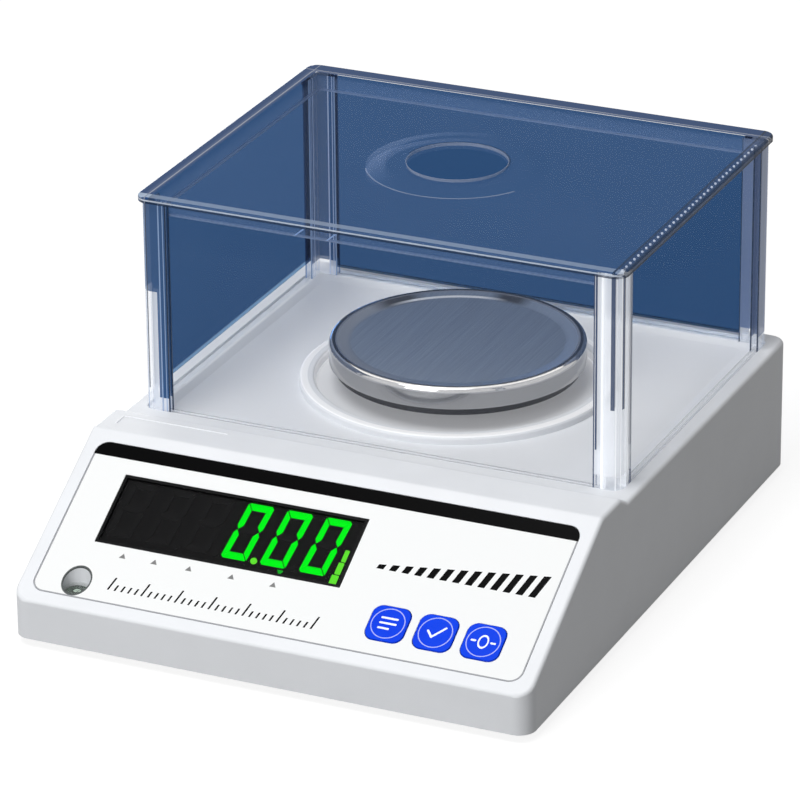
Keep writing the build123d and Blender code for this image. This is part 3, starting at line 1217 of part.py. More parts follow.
with BuildPart() as shield_lid:
    with BuildSketch(Plane.XY.offset(LID_Z)):
        with Locations((0, SHIELD_Y)):
            RectangleRounded(SHIELD_W + 2 * LID_OVER, SHIELD_D + 2 * LID_OVER, LID_R)
    extrude(amount=LID_T)
    fillet(shield_lid.edges().group_by(Axis.Z)[-1], 1.0)
    # Skirt that drops inside the panels
    with BuildSketch(Plane.XY.offset(LID_TOP_Z - SKIRT_H)):
        with Locations((0, SHIELD_Y)):
            skirt = 2 * (POST_T + SKIRT_CLEAR)
            RectangleRounded(SHIELD_W - skirt, SHIELD_D - skirt, 3.0)
            hollow = skirt + 2 * SKIRT_T
            RectangleRounded(SHIELD_W - hollow, SHIELD_D - hollow, 1.5, mode=Mode.SUBTRACT)
    extrude(amount=SKIRT_H - LID_T)
    # Raised ring round the opening over the pan
    with BuildSketch(Plane.XY.offset(LID_Z)):
        with Locations((0, PAN_Y)):
            Circle(DOME_R)
    extrude(amount=LID_T, mode=Mode.SUBTRACT)
    with BuildSketch(Plane.XZ.offset(-PAN_Y)):
        with BuildLine():
            flat_r = DOME_R - DOME_RUN
            Polyline(
                (DOME_R, LID_Z),
                (DOME_R, LID_TOP_Z),
                (flat_r, LID_TOP_Z + DOME_RISE),
                (LID_HOLE_R, LID_TOP_Z + DOME_RISE),
                (LID_HOLE_R, LID_Z + DOME_RISE),
                (flat_r, LID_Z + DOME_RISE),
                close=True,
            )
        make_face()
    revolve(axis=Axis((0, PAN_Y, 0), (0, 0, 1)))
keep(shield_lid, "shield_lid")

# Power switch and jack in the rear pocket
POCKET_Y = BACK_Y - POCKET_DEPTH
FLANGE_Y = POCKET_Y + ROCKER_FLANGE[1]
CAVITY_W = ROCKER_CAP[0] + 2 * ROCKER_SWING
CAVITY_H = ROCKER_CAP[1] + 2 * ROCKER_CLEAR
PIVOT_Y = FLANGE_Y - ROCKER_PIVOT_IN
with BuildPart() as rocker_frame:
    with BuildSketch(Plane.XZ.offset(-FLANGE_Y)):
        with Locations((ROCKER_X, POCKET_Z)):
            RectangleRounded(ROCKER_FLANGE[0], ROCKER_FLANGE[2], 1.0)
    extrude(amount=ROCKER_FLANGE[1])
    with BuildSketch(Plane.XZ.offset(-POCKET_Y)):
        with Locations((ROCKER_X, POCKET_Z)):
            Rectangle(ROCKER_BODY[0], ROCKER_BODY[2])
    extrude(amount=ROCKER_BODY[1])
    with BuildSketch(Plane.XZ.offset(-FLANGE_Y)):
        with Locations((ROCKER_X, POCKET_Z)):
            Rectangle(CAVITY_W, CAVITY_H)
    extrude(amount=ROCKER_CAVITY, mode=Mode.SUBTRACT)
    with BuildSketch(Plane.XY.offset(POCKET_Z - ROCKER_CAP[1] / 2 - ROCKER_PIN_L - ROCKER_PIN_CLEAR)):
        with Locations((ROCKER_X, PIVOT_Y)):
            Circle(ROCKER_PIN_R + ROCKER_PIN_CLEAR)
    extrude(amount=ROCKER_CAP[1] + 2 * (ROCKER_PIN_L + ROCKER_PIN_CLEAR), mode=Mode.SUBTRACT)
keep(rocker_frame, "rocker_frame")

ROCKER_SHAPE = [(-7.0, -1.5), (-7.0, 3.5), (0.0, 2.8), (7.0, 3.5), (7.0, -1.5), (2.0, -3.5), (-2.0, -3.5)]
with BuildPart() as power_rocker:
    with BuildSketch(Plane.XY.offset(POCKET_Z - ROCKER_CAP[1] / 2)):
        turn = math.radians(ROCKER_TILT)
        with BuildLine():
            Polyline(
                *[
                    (
                        ROCKER_X + u * math.cos(turn) - v * math.sin(turn),
                        PIVOT_Y + u * math.sin(turn) + v * math.cos(turn),
                    )
                    for u, v in ROCKER_SHAPE
                ],
                close=True,
            )
        make_face()
    extrude(amount=ROCKER_CAP[1])
    with BuildSketch(Plane.XY.offset(POCKET_Z - ROCKER_CAP[1] / 2 - ROCKER_PIN_L)):
        with Locations((ROCKER_X, PIVOT_Y)):
            Circle(ROCKER_PIN_R)
    extrude(amount=ROCKER_CAP[1] + 2 * ROCKER_PIN_L)
keep(power_rocker, "power_rocker")

with BuildPart() as dc_jack:
    with BuildSketch(Plane.XZ.offset(WALL - POCKET_Y)):
        with Locations((JACK_X, POCKET_Z)):
            Rectangle(JACK_BODY[0], JACK_BODY[2])
    extrude(amount=JACK_BODY[1])
    with BuildSketch(Plane.XZ.offset(-POCKET_Y - JACK_NOSE_OUT)):
        with Locations((JACK_X, POCKET_Z)):
            Circle(JACK_NOSE_R)
    extrude(amount=JACK_NOSE_OUT + WALL)
    with BuildSketch(Plane.XZ.offset(-POCKET_Y - JACK_NOSE_OUT)):
        with Locations((JACK_X, POCKET_Z)):
            Circle(JACK_BORE_R)
    extrude(amount=JACK_BORE_L, mode=Mode.SUBTRACT)
keep(dc_jack, "dc_jack")

with BuildPart() as dc_jack_pin:
    with BuildSketch(Plane.XZ.offset(JACK_BORE_L - POCKET_Y - JACK_NOSE_OUT)):
        with Locations((JACK_X, POCKET_Z)):
            Circle(JACK_PIN_R)
    extrude(amount=JACK_PIN_SHORT - JACK_BORE_L)
keep(dc_jack_pin, "dc_jack_pin")

# Levelling feet
with BuildPart() as foot_nuts:
    with BuildSketch(Plane.XY.offset(CUP_Z)):
        with Locations(*FEET):
            Circle(NUT_R)
            Circle(STUD_R + STUD_CLEAR, mode=Mode.SUBTRACT)
    extrude(amount=NUT_L)
keep(foot_nuts, "foot_nuts")

for name, (sx, sy) in FOOT_PLACES.items():
    x, y = sx * FOOT_X, sy * FOOT_Y
    tip_z = WHEEL_Z - FOOT_TIP_L
    with BuildPart() as pad:
        with BuildSketch():
            with Locations((x, y)):
                Circle(FOOT_PAD_R)
        extrude(amount=FOOT_PAD_T)
        fillet(pad.edges().group_by(Axis.Z)[-1], 0.8)
        with BuildSketch(Plane.XY.offset(tip_z - FOOT_GAP)):
            with Locations((x, y)):
                Circle(FOOT_TIP_R + STUD_CLEAR)
        extrude(amount=FOOT_PAD_T, mode=Mode.SUBTRACT)
    keep(pad, f"foot_pad_{name}")
    with BuildPart() as stud:
        with BuildSketch(Plane.XY.offset(WHEEL_Z)):
            with Locations((x, y)):
                Circle(FOOT_WHEEL_R)
                with PolarLocations(FOOT_WHEEL_R, FOOT_KNURLS):
                    Circle(FOOT_KNURL_R)
        extrude(amount=FOOT_WHEEL_T)
        with BuildSketch(Plane.XY.offset(tip_z)):
            with Locations((x, y)):
                Circle(FOOT_TIP_R)
        extrude(amount=FOOT_TIP_L)
        with BuildSketch(Plane.XY.offset(WHEEL_TOP_Z)):
            with Locations((x, y)):
                Circle(STUD_R)
        extrude(amount=STUD_L)
        chamfer(stud.edges().group_by(Axis.Z)[-1], 0.6)
    keep(stud, f"foot_stud_{name}")
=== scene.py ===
# %% [markdown]
# A bench scale is a pale moulded box with a bright steel pan, so most of its look is soft light on
# plain plastic. The solid pieces come ready from the imported model. This first cell loads them.

import bpy
import bmesh
import math
from mathutils import Matrix, Vector


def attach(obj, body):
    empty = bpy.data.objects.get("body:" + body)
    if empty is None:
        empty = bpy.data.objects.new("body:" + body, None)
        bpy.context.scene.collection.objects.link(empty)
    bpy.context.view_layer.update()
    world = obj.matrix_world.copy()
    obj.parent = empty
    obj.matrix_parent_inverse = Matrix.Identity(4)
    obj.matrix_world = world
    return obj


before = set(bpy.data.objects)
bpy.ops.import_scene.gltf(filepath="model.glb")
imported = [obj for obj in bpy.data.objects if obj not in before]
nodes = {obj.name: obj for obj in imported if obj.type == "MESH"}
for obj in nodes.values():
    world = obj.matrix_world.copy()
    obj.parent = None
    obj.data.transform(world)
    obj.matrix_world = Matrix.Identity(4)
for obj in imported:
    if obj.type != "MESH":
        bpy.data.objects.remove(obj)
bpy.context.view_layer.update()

# %% [markdown]
# The camera stands far back with a long lens, a little to the right and above, so that upright edges
# stay nearly parallel. It is set from the direction it looks in, the point it looks at and its distance.

# %% Camera
AZIMUTH, ELEVATION, ROLL = (math.radians(a) for a in (24.44, 23.75, 0.5))
DISTANCE, FOCAL_PIXELS, PICTURE_PIXELS, SENSOR = 2.4237, 5209.63, 800, 36.0
SHIFT_RIGHT, SHIFT_DOWN = -0.02712, 0.00788
level_part = math.cos(ELEVATION)
ahead = Vector((-math.sin(AZIMUTH) * level_part, math.cos(AZIMUTH) * level_part, -math.sin(ELEVATION)))
right = Vector((math.cos(AZIMUTH), math.sin(AZIMUTH), 0))
down = ahead.cross(right)
across = right * math.cos(ROLL) + down * math.sin(ROLL)
below = down * math.cos(ROLL) - right * math.sin(ROLL)
spot = Vector((0, 0.0535, 0.064)) + right * SHIFT_RIGHT + down * SHIFT_DOWN

camera_data = bpy.data.cameras.new("camera")
camera = bpy.data.objects.new("camera", camera_data)
bpy.context.scene.collection.objects.link(camera)
turn = Matrix((across, -below, -ahead)).transposed().to_4x4()
camera.matrix_world = Matrix.Translation(spot - ahead * DISTANCE) @ turn
camera_data.sensor_width = SENSOR
camera_data.lens = FOCAL_PIXELS / PICTURE_PIXELS * SENSOR
camera_data.clip_start, camera_data.clip_end = 0.1, 30.0
bpy.context.scene.camera = camera
bpy.context.scene.view_settings.view_transform = "Standard"
print("camera at", tuple(round(c, 4) for c in camera.location), "lens", round(camera_data.lens, 1))

# %% [markdown]
# Shader maths reads best as ordinary sums. A small class wraps one output of a node, and each operator
# on it adds the Math node that does the sum, so a printed mark is one line of arithmetic. A mask is
# such a sum that is 1 on the mark and 0 elsewhere. The second class holds one material.


# %% A socket that can be used in sums
class Wire:
    """One output of a node. The operators | and & take the larger and the smaller of two values."""

    def __init__(self, paint, socket):
        self.paint, self.socket = paint, socket

    def math(self, operation, *others):
        return self.paint.node("ShaderNodeMath", {"operation": operation}, [self, *others])

    def ramp(self, low, high, start=0.0, end=1.0):
        """start up to low, end from high on, and a straight line between."""
        return self.paint.node("ShaderNodeMapRange", None, [self, low, high, start, end])

    def __add__(self, other):
        return self.math("ADD", other)

    def __sub__(self, other):
        return self.math("SUBTRACT", other)

    def __rsub__(self, other):
        return self.paint.node("ShaderNodeMath", {"operation": "SUBTRACT"}, [other, self])

    def __mul__(self, other):
        return self.math("MULTIPLY", other)

    def __truediv__(self, other):
        return self.math("DIVIDE", other)

    def __lt__(self, other):
        return self.math("LESS_THAN", other)

    def __gt__(self, other):
        return self.math("GREATER_THAN", other)

    def __abs__(self):
        return self.math("ABSOLUTE")

    def __or__(self, other):
        return self.math("MAXIMUM", other)

    def __and__(self, other):
        return self.math("MINIMUM", other)

    __radd__, __rmul__, __ror__ = __add__, __mul__, __or__


OBJECT_OUTPUT = 3  # of the Texture Coordinate node
MM = 1000


class Paint:
    """One material: a Principled shader and the nodes that feed it."""

    def __init__(self, name, color=(0.8, 0.8, 0.8), **sockets):
        self.material = bpy.data.materials.new(name)
        self.material.use_nodes = True
        self.tree = self.material.node_tree
        self.shader = self.tree.nodes["Principled BSDF"]
        self.shader.inputs["Base Color"].default_value = (*color, 1)
        for socket, value in sockets.items():
            self.set(socket.replace("_", " "), value)

    def set(self, socket, value):
        target = self.shader.inputs[socket]
        if isinstance(value, Wire):
            self.tree.links.new(value.socket, target)
        else:
            target.default_value = value

    def node(self, kind, settings=None, values=(), output=0):
        made = self.tree.nodes.new(kind)
        for name, value in (settings or {}).items():
            setattr(made, name, value)
        pairs = values.items() if isinstance(values, dict) else enumerate(values)
        for key, value in pairs:
            if isinstance(value, Wire):
                self.tree.links.new(value.socket, made.inputs[key])
            else:
                made.inputs[key].default_value = value
        return Wire(self, made.outputs[output])

    def place(self):
        """The point on the piece in millimetres, as three sums: x, y and z."""
        point = self.node("ShaderNodeTexCoord", output=OBJECT_OUTPUT)
        parts = [self.node("ShaderNodeSeparateXYZ", None, [point], n) for n in range(3)]
        return [part * MM for part in parts]

    def mix(self, mask, first, second):
        """first where the mask is 0 and second where it is 1, as colours."""
        values = {0: mask, 6: first if isinstance(first, Wire) else (*first, 1)}
        values[7] = second if isinstance(second, Wire) else (*second, 1)
        return self.node("ShaderNodeMix", {"data_type": "RGBA"}, values, 2)

    def mark(self, mask, color):
        """Paints a colour over the present one where the mask is 1."""
        present = Wire(self, self.shader.inputs["Base Color"].links[0].from_socket)
        self.set("Base Color", self.mix(mask, present, color))

    def noise(self, scale, detail=2.0, stretch=(1, 1, 1)):
        point = self.node("ShaderNodeTexCoord", output=OBJECT_OUTPUT)
        placed = self.node("ShaderNodeMapping", None, {"Vector": point, "Scale": stretch})
        return self.node("ShaderNodeTexNoise", None, {"Vector": placed, "Scale": scale, "Detail": detail})

    def bump(self, height, strength, distance=0.0001):
        values = {"Strength": strength, "Distance": distance, "Height": height}
        self.set("Normal", self.node("ShaderNodeBump", None, values))


def wear(*names, paint):
    """Gives these CAD nodes the paint's material."""
    for name in names:
        mesh = nodes[name].data
        mesh.materials.clear()
        mesh.materials.append(paint.material)


def between(value, low, high):
    """Mask of the values between two limits."""
    return (value > low) * (value < high)


def away(u, v):
    """Distance from the point where both are 0."""
    return (u * u + v * v).math("SQRT")


def any_of(masks):
    """One mask from several."""
    total = 0.0
    for mask in masks:
        total = total | mask
    return total


def circle_line(u, v, radius, width, squeeze=1.0):
    """Mask of a circle's line. A squeeze above 1 makes the circle narrower in u."""
    return abs(away(u * squeeze, v) - radius) < width / 2


print("helpers ready")

# %% [markdown]
# Moulded ABS isn't quite even. The tool leaves a very fine spark texture, and the plastic reflects
# more softly where it is rubbed. Both come from noise on the piece's own coordinates. The vent slots
# under the base are painted on as dark stripes, a painted shade for the dark inside of open slots.

# %% Moulded plastics
SHADED = 0.965


def moulded(name, color, roughness, grain=0.12, **sockets):
    """A plastic in one colour. The grain is the depth of its spark texture."""
    paint = Paint(name, color, **sockets)
    fine = paint.noise(2600, 3)
    cloud = paint.noise(38, 3)
    paint.set("Base Color", paint.mix(cloud.ramp(0.3, 0.7), tuple(c * SHADED for c in color), color))
    paint.set("Roughness", fine * 0.10 + (roughness - 0.05) + cloud * 0.04)
    paint.bump(fine, grain)
    return paint


abs_white = moulded("abs_white", (0.765, 0.782, 0.81), 0.42, Specular_IOR_Level=0.3)
abs_grey = moulded("abs_grey", (0.62, 0.63, 0.65), 0.45)
VENT_X, VENT_Y, VENT_HALF_X, VENT_HALF_Y, VENT_STEP, VENT_OPEN = 50, -42, 30, 19, 4.5, 0.38
UNDERSIDE_TOP = 4.2
x, y, z = abs_grey.place()
field = (abs(x - VENT_X) < VENT_HALF_X) * (abs(y - VENT_Y) < VENT_HALF_Y) * (z < UNDERSIDE_TOP)
# painted shade: dark stripes where the vent slots would show their shaded inside
abs_grey.mark(field * ((y / VENT_STEP).math("FRACT") < VENT_OPEN), (0.02, 0.02, 0.02))
black_plastic = moulded("black_plastic", (0.018, 0.018, 0.02), 0.38)
wear("upper_housing", paint=abs_white)
wear("lower_housing", "battery_cover", paint=abs_grey)
wear("battery", "pan_support", "key_switches", "rocker_frame", "dc_jack", paint=black_plastic)
wear("main_board_parts", paint=black_plastic)
print("plastics", abs_white.material.name, abs_grey.material.name, black_plastic.material.name)

# %% [markdown]
# The sloping panel is a printed film. Its print is worked out in the panel's own measure: x to the
# right and s up the slope, in millimetres. The black band, the graduated rule, the rising bars and the
# small arrows are all plain marks. A thin grey line runs round the film's edge.

# %% Printed panel
SLOPE = math.atan2(49.4, 82.7)
SLOPE_START = (-157, 23)  # y and z where s is 0


def slope_measure(paint):
    """The point on the sloping panel: x to the right and s up the slope."""
    x, y, z = paint.place()
    s = (y - SLOPE_START[0]) * math.cos(SLOPE) + (z - SLOPE_START[1]) * math.sin(SLOPE)
    return x, s


film = Paint("printed_film", (0.9, 0.9, 0.91), Specular_IOR_Level=0.02)
x, s = slope_measure(film)

RULE_LEFT, RULE_LOW, RULE_STEP, RULE_COUNT, RULE_LEAN = -82.0, 13.4, 3.3, 30, 0.25
lean = x - (s - 16) * RULE_LEAN - RULE_LEFT
thin = (lean / RULE_STEP).math("FRACT") < 0.28
fifth = (lean / (5 * RULE_STEP)).math("FRACT") < 0.15
tick_height = 3.2 + 3.6 * fifth
rule = between(lean, 0, RULE_STEP * (RULE_COUNT + 0.3)) * thin
rule = rule * between(s, RULE_LOW, RULE_LOW + tick_height)

BARS_LEFT, BARS_RIGHT, BARS_LOW, BARS_STEP, BARS_LEAN, BARS_RISE = 36, 113.5, 50, 6.0, 0.3, 0.13
lean = x - (s - 56) * BARS_LEAN
bar_height = 2.5 + (lean - 38) * BARS_RISE
bars = between(lean, BARS_LEFT, BARS_RIGHT) * ((lean / BARS_STEP).math("FRACT") < 0.55)
bars = bars * between(s, BARS_LOW, BARS_LOW + bar_height)

ARROWS, ARROW_LOW, ARROW_TIP = (-82.3, -66.7, -49.6, -28.8, -8.4), 30.6, 33.2
wedge = (ARROW_TIP - s) * 0.62
arrows = any_of((abs(x - arrow) < wedge) for arrow in ARROWS) * between(s, ARROW_LOW, ARROW_TIP) * 0.75
BAND_LOW = 82.2
ink = rule | bars | arrows | (s > BAND_LOW)

LEVEL = (-98.2, -144.03)
place_x, place_y, _ = film.place()
level_ring = away(place_x - LEVEL[0], place_y - LEVEL[1]) < 7.0
FILM_HALF, FILM_S, FILM_R, FILM_LINE = (118.0, 41.55), 47.95, 6.0, 0.6
corner_x = (abs(x) - (FILM_HALF[0] - FILM_R)) | 0.0
corner_s = (abs(s - FILM_S) - (FILM_HALF[1] - FILM_R)) | 0.0
border = away(corner_x, corner_s) > FILM_R - FILM_LINE
paper = film.mix(level_ring, (0.83, 0.84, 0.84), (0.10, 0.11, 0.11))
paper = film.mix(border, paper, (0.36, 0.37, 0.39))
film.set("Base Color", film.mix(ink, paper, (0.0016, 0.0016, 0.0018)))
speckle = film.noise(900, 2)
film.set("Roughness", speckle * 0.05 + 0.2)
film.bump(speckle, 0.05)
wear("panel_overlay", paint=film)
print("printed film at", round(math.degrees(SLOPE), 2), "degrees,", len(ARROWS), "arrows over the rule")

# %% [markdown]
# Three marks go on the housing itself. The edge of the display's opening is black, so the window seems
# to have a dark rim. The lip round the pan's well gets a painted highlight, brighter than the deck. The
# well's floor gets painted shade, a greyer colour, and a painted light, a faint glow that keeps the
# shadow under the pan as open as it is in a large bright room.

# %% Marks on the housing
WINDOW_X, WINDOW_S, OPENING_EDGE = (-98.4, 21.6), (36.8, 74.0), 0.3
PAN_Y = 53.5
x, s = slope_measure(abs_white)
opening = between(x, WINDOW_X[0] - OPENING_EDGE, WINDOW_X[1] + OPENING_EDGE)
opening = opening * between(s, WINDOW_S[0] - OPENING_EDGE, WINDOW_S[1] + OPENING_EDGE)
x, y, z = abs_white.place()
from_pan = away(x, y - PAN_Y)
# painted highlight: the lip round the well is painted brighter than the deck
abs_white.mark(between(from_pan, 70.0, 73.4) * (z > 67.9), (0.95, 0.955, 0.965))
# painted shade: the well's floor is painted greyer
abs_white.mark((from_pan < 66.0) * between(z, 64.0, 66.5), (0.55, 0.56, 0.575))
abs_white.mark(opening, (0.004, 0.004, 0.004))
# painted light: the well's floor glows, an emission that fills the shadow under the pan
glow = from_pan.ramp(34.5, 41.0) * (from_pan < 67.0) * between(z, 64.0, 69.0)
abs_white.set("Emission Color", abs_white.mix(glow, (0, 0, 0), (0.20, 0.20, 0.205)))
abs_white.set("Emission Strength", 1.0)
print("housing marked round the window and the pan's well")

# %% [markdown]
# Each key is a blue moulded cap with a thin pale ring and a plain sign: bars for the menu, a tick for
# confirm, and a zero between two strokes for tare. A sign is a list of straight strokes, each from one
# point to another in millimetres from the key's middle.

# %% Keys
KEY_S, KEY_RING, STROKE = 23.1, 7.6, 1.0
KEY_X = {"function": 50.3, "count": 72.8, "tare": 95.3}
SIGNS = {
    "function": [((-3.6, 2.7), (3.6, 2.7)), ((-3.6, 0), (3.6, 0)), ((-3.6, -2.7), (1, -2.7))],
    "count": [((-3.6, 0.4), (-1.1, -2.5)), ((-1.1, -2.5), (4.0, 3.1))],
    "tare": [((-5.4, 0), (-3.8, 0)), ((5.4, 0), (3.8, 0))],
}


def stroke(u, v, start, end, width):
    """Mask of a straight stroke with round ends between two points."""
    dx, dy = end[0] - start[0], end[1] - start[1]
    length = math.hypot(dx, dy)
    ex, ey = dx / length, dy / length
    along = (u - start[0]) * ex + (v - start[1]) * ey
    held = (along | 0.0) & length
    return away(u - start[0] - held * ex, v - start[1] - held * ey) < width / 2


for name, key_x in KEY_X.items():
    cap = Paint(f"key_blue_{name}", (0.01, 0.055, 0.75), Specular_IOR_Level=0.04)
    x, s = slope_measure(cap)
    u, v = x - key_x, s - KEY_S
    white = any_of(stroke(u, v, start, end, STROKE) for start, end in SIGNS[name])
    white = white | circle_line(u, v, KEY_RING, 0.5) * 0.45
    if name == "tare":
        white = white | circle_line(u, v, 3.1, STROKE, 1.45)
    blue = cap.mix(cap.noise(60, 2), (0.001, 0.036, 0.70), (0.003, 0.066, 0.80))
    cap.set("Base Color", cap.mix(white, blue, (0.86, 0.9, 1.0)))
    cap.set("Roughness", cap.noise(1800, 2) * 0.08 + 0.26)
    wear(f"key_{name}", paint=cap)
print("keys at", KEY_X)

# %% [markdown]
# Lit bars are light, not paint, so they get an emission colour. The unlit bars and the display's face
# get a painted glow, a very faint emission that evens out their shading, just enough to be told apart.
# The window over them is smoked acrylic, mostly transparent, and dark because what lies behind it is dark.

# %% Display
lit = Paint("lit_bars", (0.0, 0.02, 0.0), Roughness=0.4, Emission_Strength=1.15, Specular_IOR_Level=0.0)
x, s = slope_measure(lit)
bright = lit.mix(lit.noise(400, 1), (0.0, 1.0, 0.008), (0.0, 0.93, 0.012))
yellower = (x > 14.4) | between(x, -25.2, -21.4) * (s < 45.4)  # the right column and the point
small_arrow = between(x, -12.4, -6.4) * (s < 42.3)
tone = lit.mix(yellower, bright, (0.13, 0.80, 0.035))
lit.set("Emission Color", lit.mix(small_arrow, tone, (0.01, 0.42, 0.02)))
wear("display_digits", paint=lit)

DARK, FAINT_WHITE = (0.003, 0.003, 0.003), (0.96, 0.96, 1.0, 1)
# painted light: the unlit bars and the display's face glow faintly, though they are no lamp
PAINTED_FAINT_GLOWS = (("unlit_bars", "display_ghosts", 0.0125), ("display_black", "display_module", 0.0095))
for name, node, glow in PAINTED_FAINT_GLOWS:
    dark = moulded(name, DARK, 0.5, 0.0, Specular_IOR_Level=0.0, Emission_Strength=glow)
    dark.set("Emission Color", FAINT_WHITE)
    wear(node, paint=dark)

WINDOW_RIM, WINDOW_TOP_RIM = 1.2, 1.4
smoke = Paint("smoked_acrylic", (0.004, 0.004, 0.0045), Specular_IOR_Level=0.10)
x, s = slope_measure(smoke)
inside = between(x, WINDOW_X[0] + WINDOW_RIM, WINDOW_X[1] - WINDOW_RIM)
inside = inside * between(s, WINDOW_S[0] + WINDOW_RIM, WINDOW_S[1] - WINDOW_TOP_RIM)
smoke.set("Alpha", 1.0 - inside * 0.9)
smoke.set("Roughness", smoke.noise(300, 2) * 0.06 + 0.12)
wear("display_window", paint=smoke)
print("display ready:", lit.material.name, smoke.material.name)

# %% [markdown]
# The pan's floor is brushed in one direction and its rim is polished. Brushing is noise stretched
# until it becomes fine scratches, which both change the steel's tone and turn its surface a little. A
# polished wall shows the room, and here that reflection is painted: pale at the left, bluish at the
# right, and at the back two dark patches with a bright crescent between, all by the direction from the
# pan's middle. The rim gets a painted shade on its outer side, a painted dark reflection along its
# crest and a painted glint just outside it at the front.

# %% Steel
WALL_START, WALL_END = 49.2, 57.0
ROOM = (0.9104, 0.4137)  # the room's right-hand direction, seen from above
steel = Paint("pan_steel", (0.5, 0.54, 0.6), Metallic=1.0)
x, y, z = steel.place()
radius = away(x, y - PAN_Y)
rightward = (x * ROOM[0] + (y - PAN_Y) * ROOM[1]) / radius
at_back = ((y - PAN_Y) * ROOM[0] - x * ROOM[1]) > 0.0
inner = radius.ramp(55.6, WALL_END, 1.0, 0.0)
scratch = steel.noise(520, 4, (4.0, 0.05, 1))
brushed_with_painted_light = steel.mix(scratch.ramp(0.3, 0.7), (0.20, 0.245, 0.325), (0.265, 0.32, 0.41))
wall = radius.ramp(WALL_START, 52.0) * (radius < WALL_END) * (z > 84.0)
# painted reflection: the wall is painted pale at the left and bluish at the right
brushed_with_painted_light = steel.mix(wall * rightward.ramp(-0.7, -0.3, 1.0, 0.0) * 0.8, brushed_with_painted_light, (0.34, 0.36, 0.40))
brushed_with_painted_light = steel.mix(wall * rightward.ramp(0.4, 0.8) * 0.6, brushed_with_painted_light, (0.31, 0.37, 0.48))
# painted reflection: two dark patches on the wall at the back
for middle, half in ((-0.50, 0.24), (0.48, 0.18)):
    patch = abs(rightward - middle).ramp(half * 0.375, half, 1.0, 0.0)
    brushed_with_painted_light = steel.mix(wall * at_back * patch * 0.85, brushed_with_painted_light, (0.045, 0.043, 0.046))
# painted highlight: a bright crescent at the back between the dark patches
crescent = abs(rightward + 0.08).ramp(0.30, 0.55, 1.0, 0.0) * abs(radius - 51.6).ramp(0.55, 1.1, 1.0, 0.0)
brushed_with_painted_light = steel.mix(crescent * at_back * (z > 84.0), brushed_with_painted_light, (0.85, 0.86, 0.88))

side = (z < 84.5) * (radius > WALL_END)
crest = between(radius, 56.9, 58.3) * (z > 85.0)
glint = between(radius, 58.3, 59.1) * (z > 85.0) * (y < PAN_Y)
# painted shade: the rim's outer side is painted darker than its top
polished_with_painted_light = steel.mix(side, (0.54, 0.54, 0.545), (0.36, 0.36, 0.365))
# painted reflection: a dark line along the crest
polished_with_painted_light = steel.mix(crest * 0.8, polished_with_painted_light, (0.06, 0.06, 0.07))
# painted highlight: a glint just outside the crest, at the front
polished_with_painted_light = steel.mix(glint, polished_with_painted_light, (0.95, 0.93, 0.9))
steel.set("Base Color", steel.mix(inner, polished_with_painted_light, brushed_with_painted_light))
steel.set("Metallic", 0.82 - inner * 0.32)
steel.set("Roughness", inner * 0.24 + 0.07)
steel.bump(scratch * inner, 0.25)
wear("weighing_pan", paint=steel)


def metal(name, color, roughness, stretch=(1, 1, 1)):
    """A metal with a fine grain, which a stretch turns into lines."""
    paint = Paint(name, color, Metallic=1.0)
    grain = paint.noise(700, 3, stretch)
    paint.set("Base Color", paint.mix(grain, tuple(c * 0.8 for c in color), color))
    paint.set("Roughness", grain * 0.2 + roughness - 0.1)
    paint.bump(grain, 0.1)
    return paint


zinc = metal("zinc_steel", (0.62, 0.63, 0.64), 0.35)
plate = metal("steel_plate", (0.5, 0.51, 0.52), 0.45)
milled = metal("milled_aluminium", (0.78, 0.79, 0.8), 0.35, (0.2, 6, 1))
turned_brass = metal("turned_brass", (0.75, 0.56, 0.25), 0.3)
wear("housing_screws", "battery_cover_screw", "board_screws", "chassis_screws", "cell_screws", paint=zinc)
wear("platform_screws", "support_screws", "dc_jack_pin", paint=zinc)
wear("chassis", paint=plate)
wear("load_cell", "platform_carrier", "cell_spacer", "overload_stops", paint=milled)
wear("foot_nuts", paint=turned_brass)
print("metals", steel.material.name, zinc.material.name, plate.material.name, milled.material.name)

# %% [markdown]
# Clear acrylic is seen by its edges: light that enters the sheet runs inside it and leaves at its rims,
# which look darker or brighter than the middle. The two panels that face the reader are clear, and
# this light is painted on them: a painted highlight along the foot and a painted dark line above it.
# The two behind are tinted blue down to a clear foot, so they get real transmission. Their tint is
# painted a little lighter towards the top, a painted shading. They are thin and flat, so they hardly
# bend the light, and the index is kept near that of air.

# %% Acrylic sheets
FOOT_LIGHT, FOOT_DARK = 67.3, 67.8
clear = Paint("clear_acrylic", (0.45, 0.55, 0.75), Specular_IOR_Level=0.06)
x, y, z = clear.place()
haze = clear.noise(30, 2)
# painted highlight along the foot and a painted dark line just above it
foot_light, foot_dark = z < FOOT_LIGHT, between(z, FOOT_LIGHT, FOOT_DARK)
tone = clear.mix(foot_dark, (0.45, 0.55, 0.75), (0.08, 0.1, 0.16))
clear.set("Base Color", clear.mix(foot_light, tone, (0.9, 0.92, 0.95)))
clear.set("Alpha", haze * 0.006 + 0.010 + foot_light * 0.5 + foot_dark * 0.25)
clear.set("Roughness", haze * 0.04 + 0.04)
wear("shield_panel_front", "shield_panel_right", paint=clear)

PANEL_Z, TINT_LOW, LEFT_LIFT, LEFT_FACE = (66.0, 169.0), 70.6, 5.2, -113.0
blue = Paint("blue_acrylic", (0.03, 0.085, 0.2), Transmission_Weight=1.0, IOR=1.03)
cloud = blue.noise(7, 2)
x, y, z = blue.place()
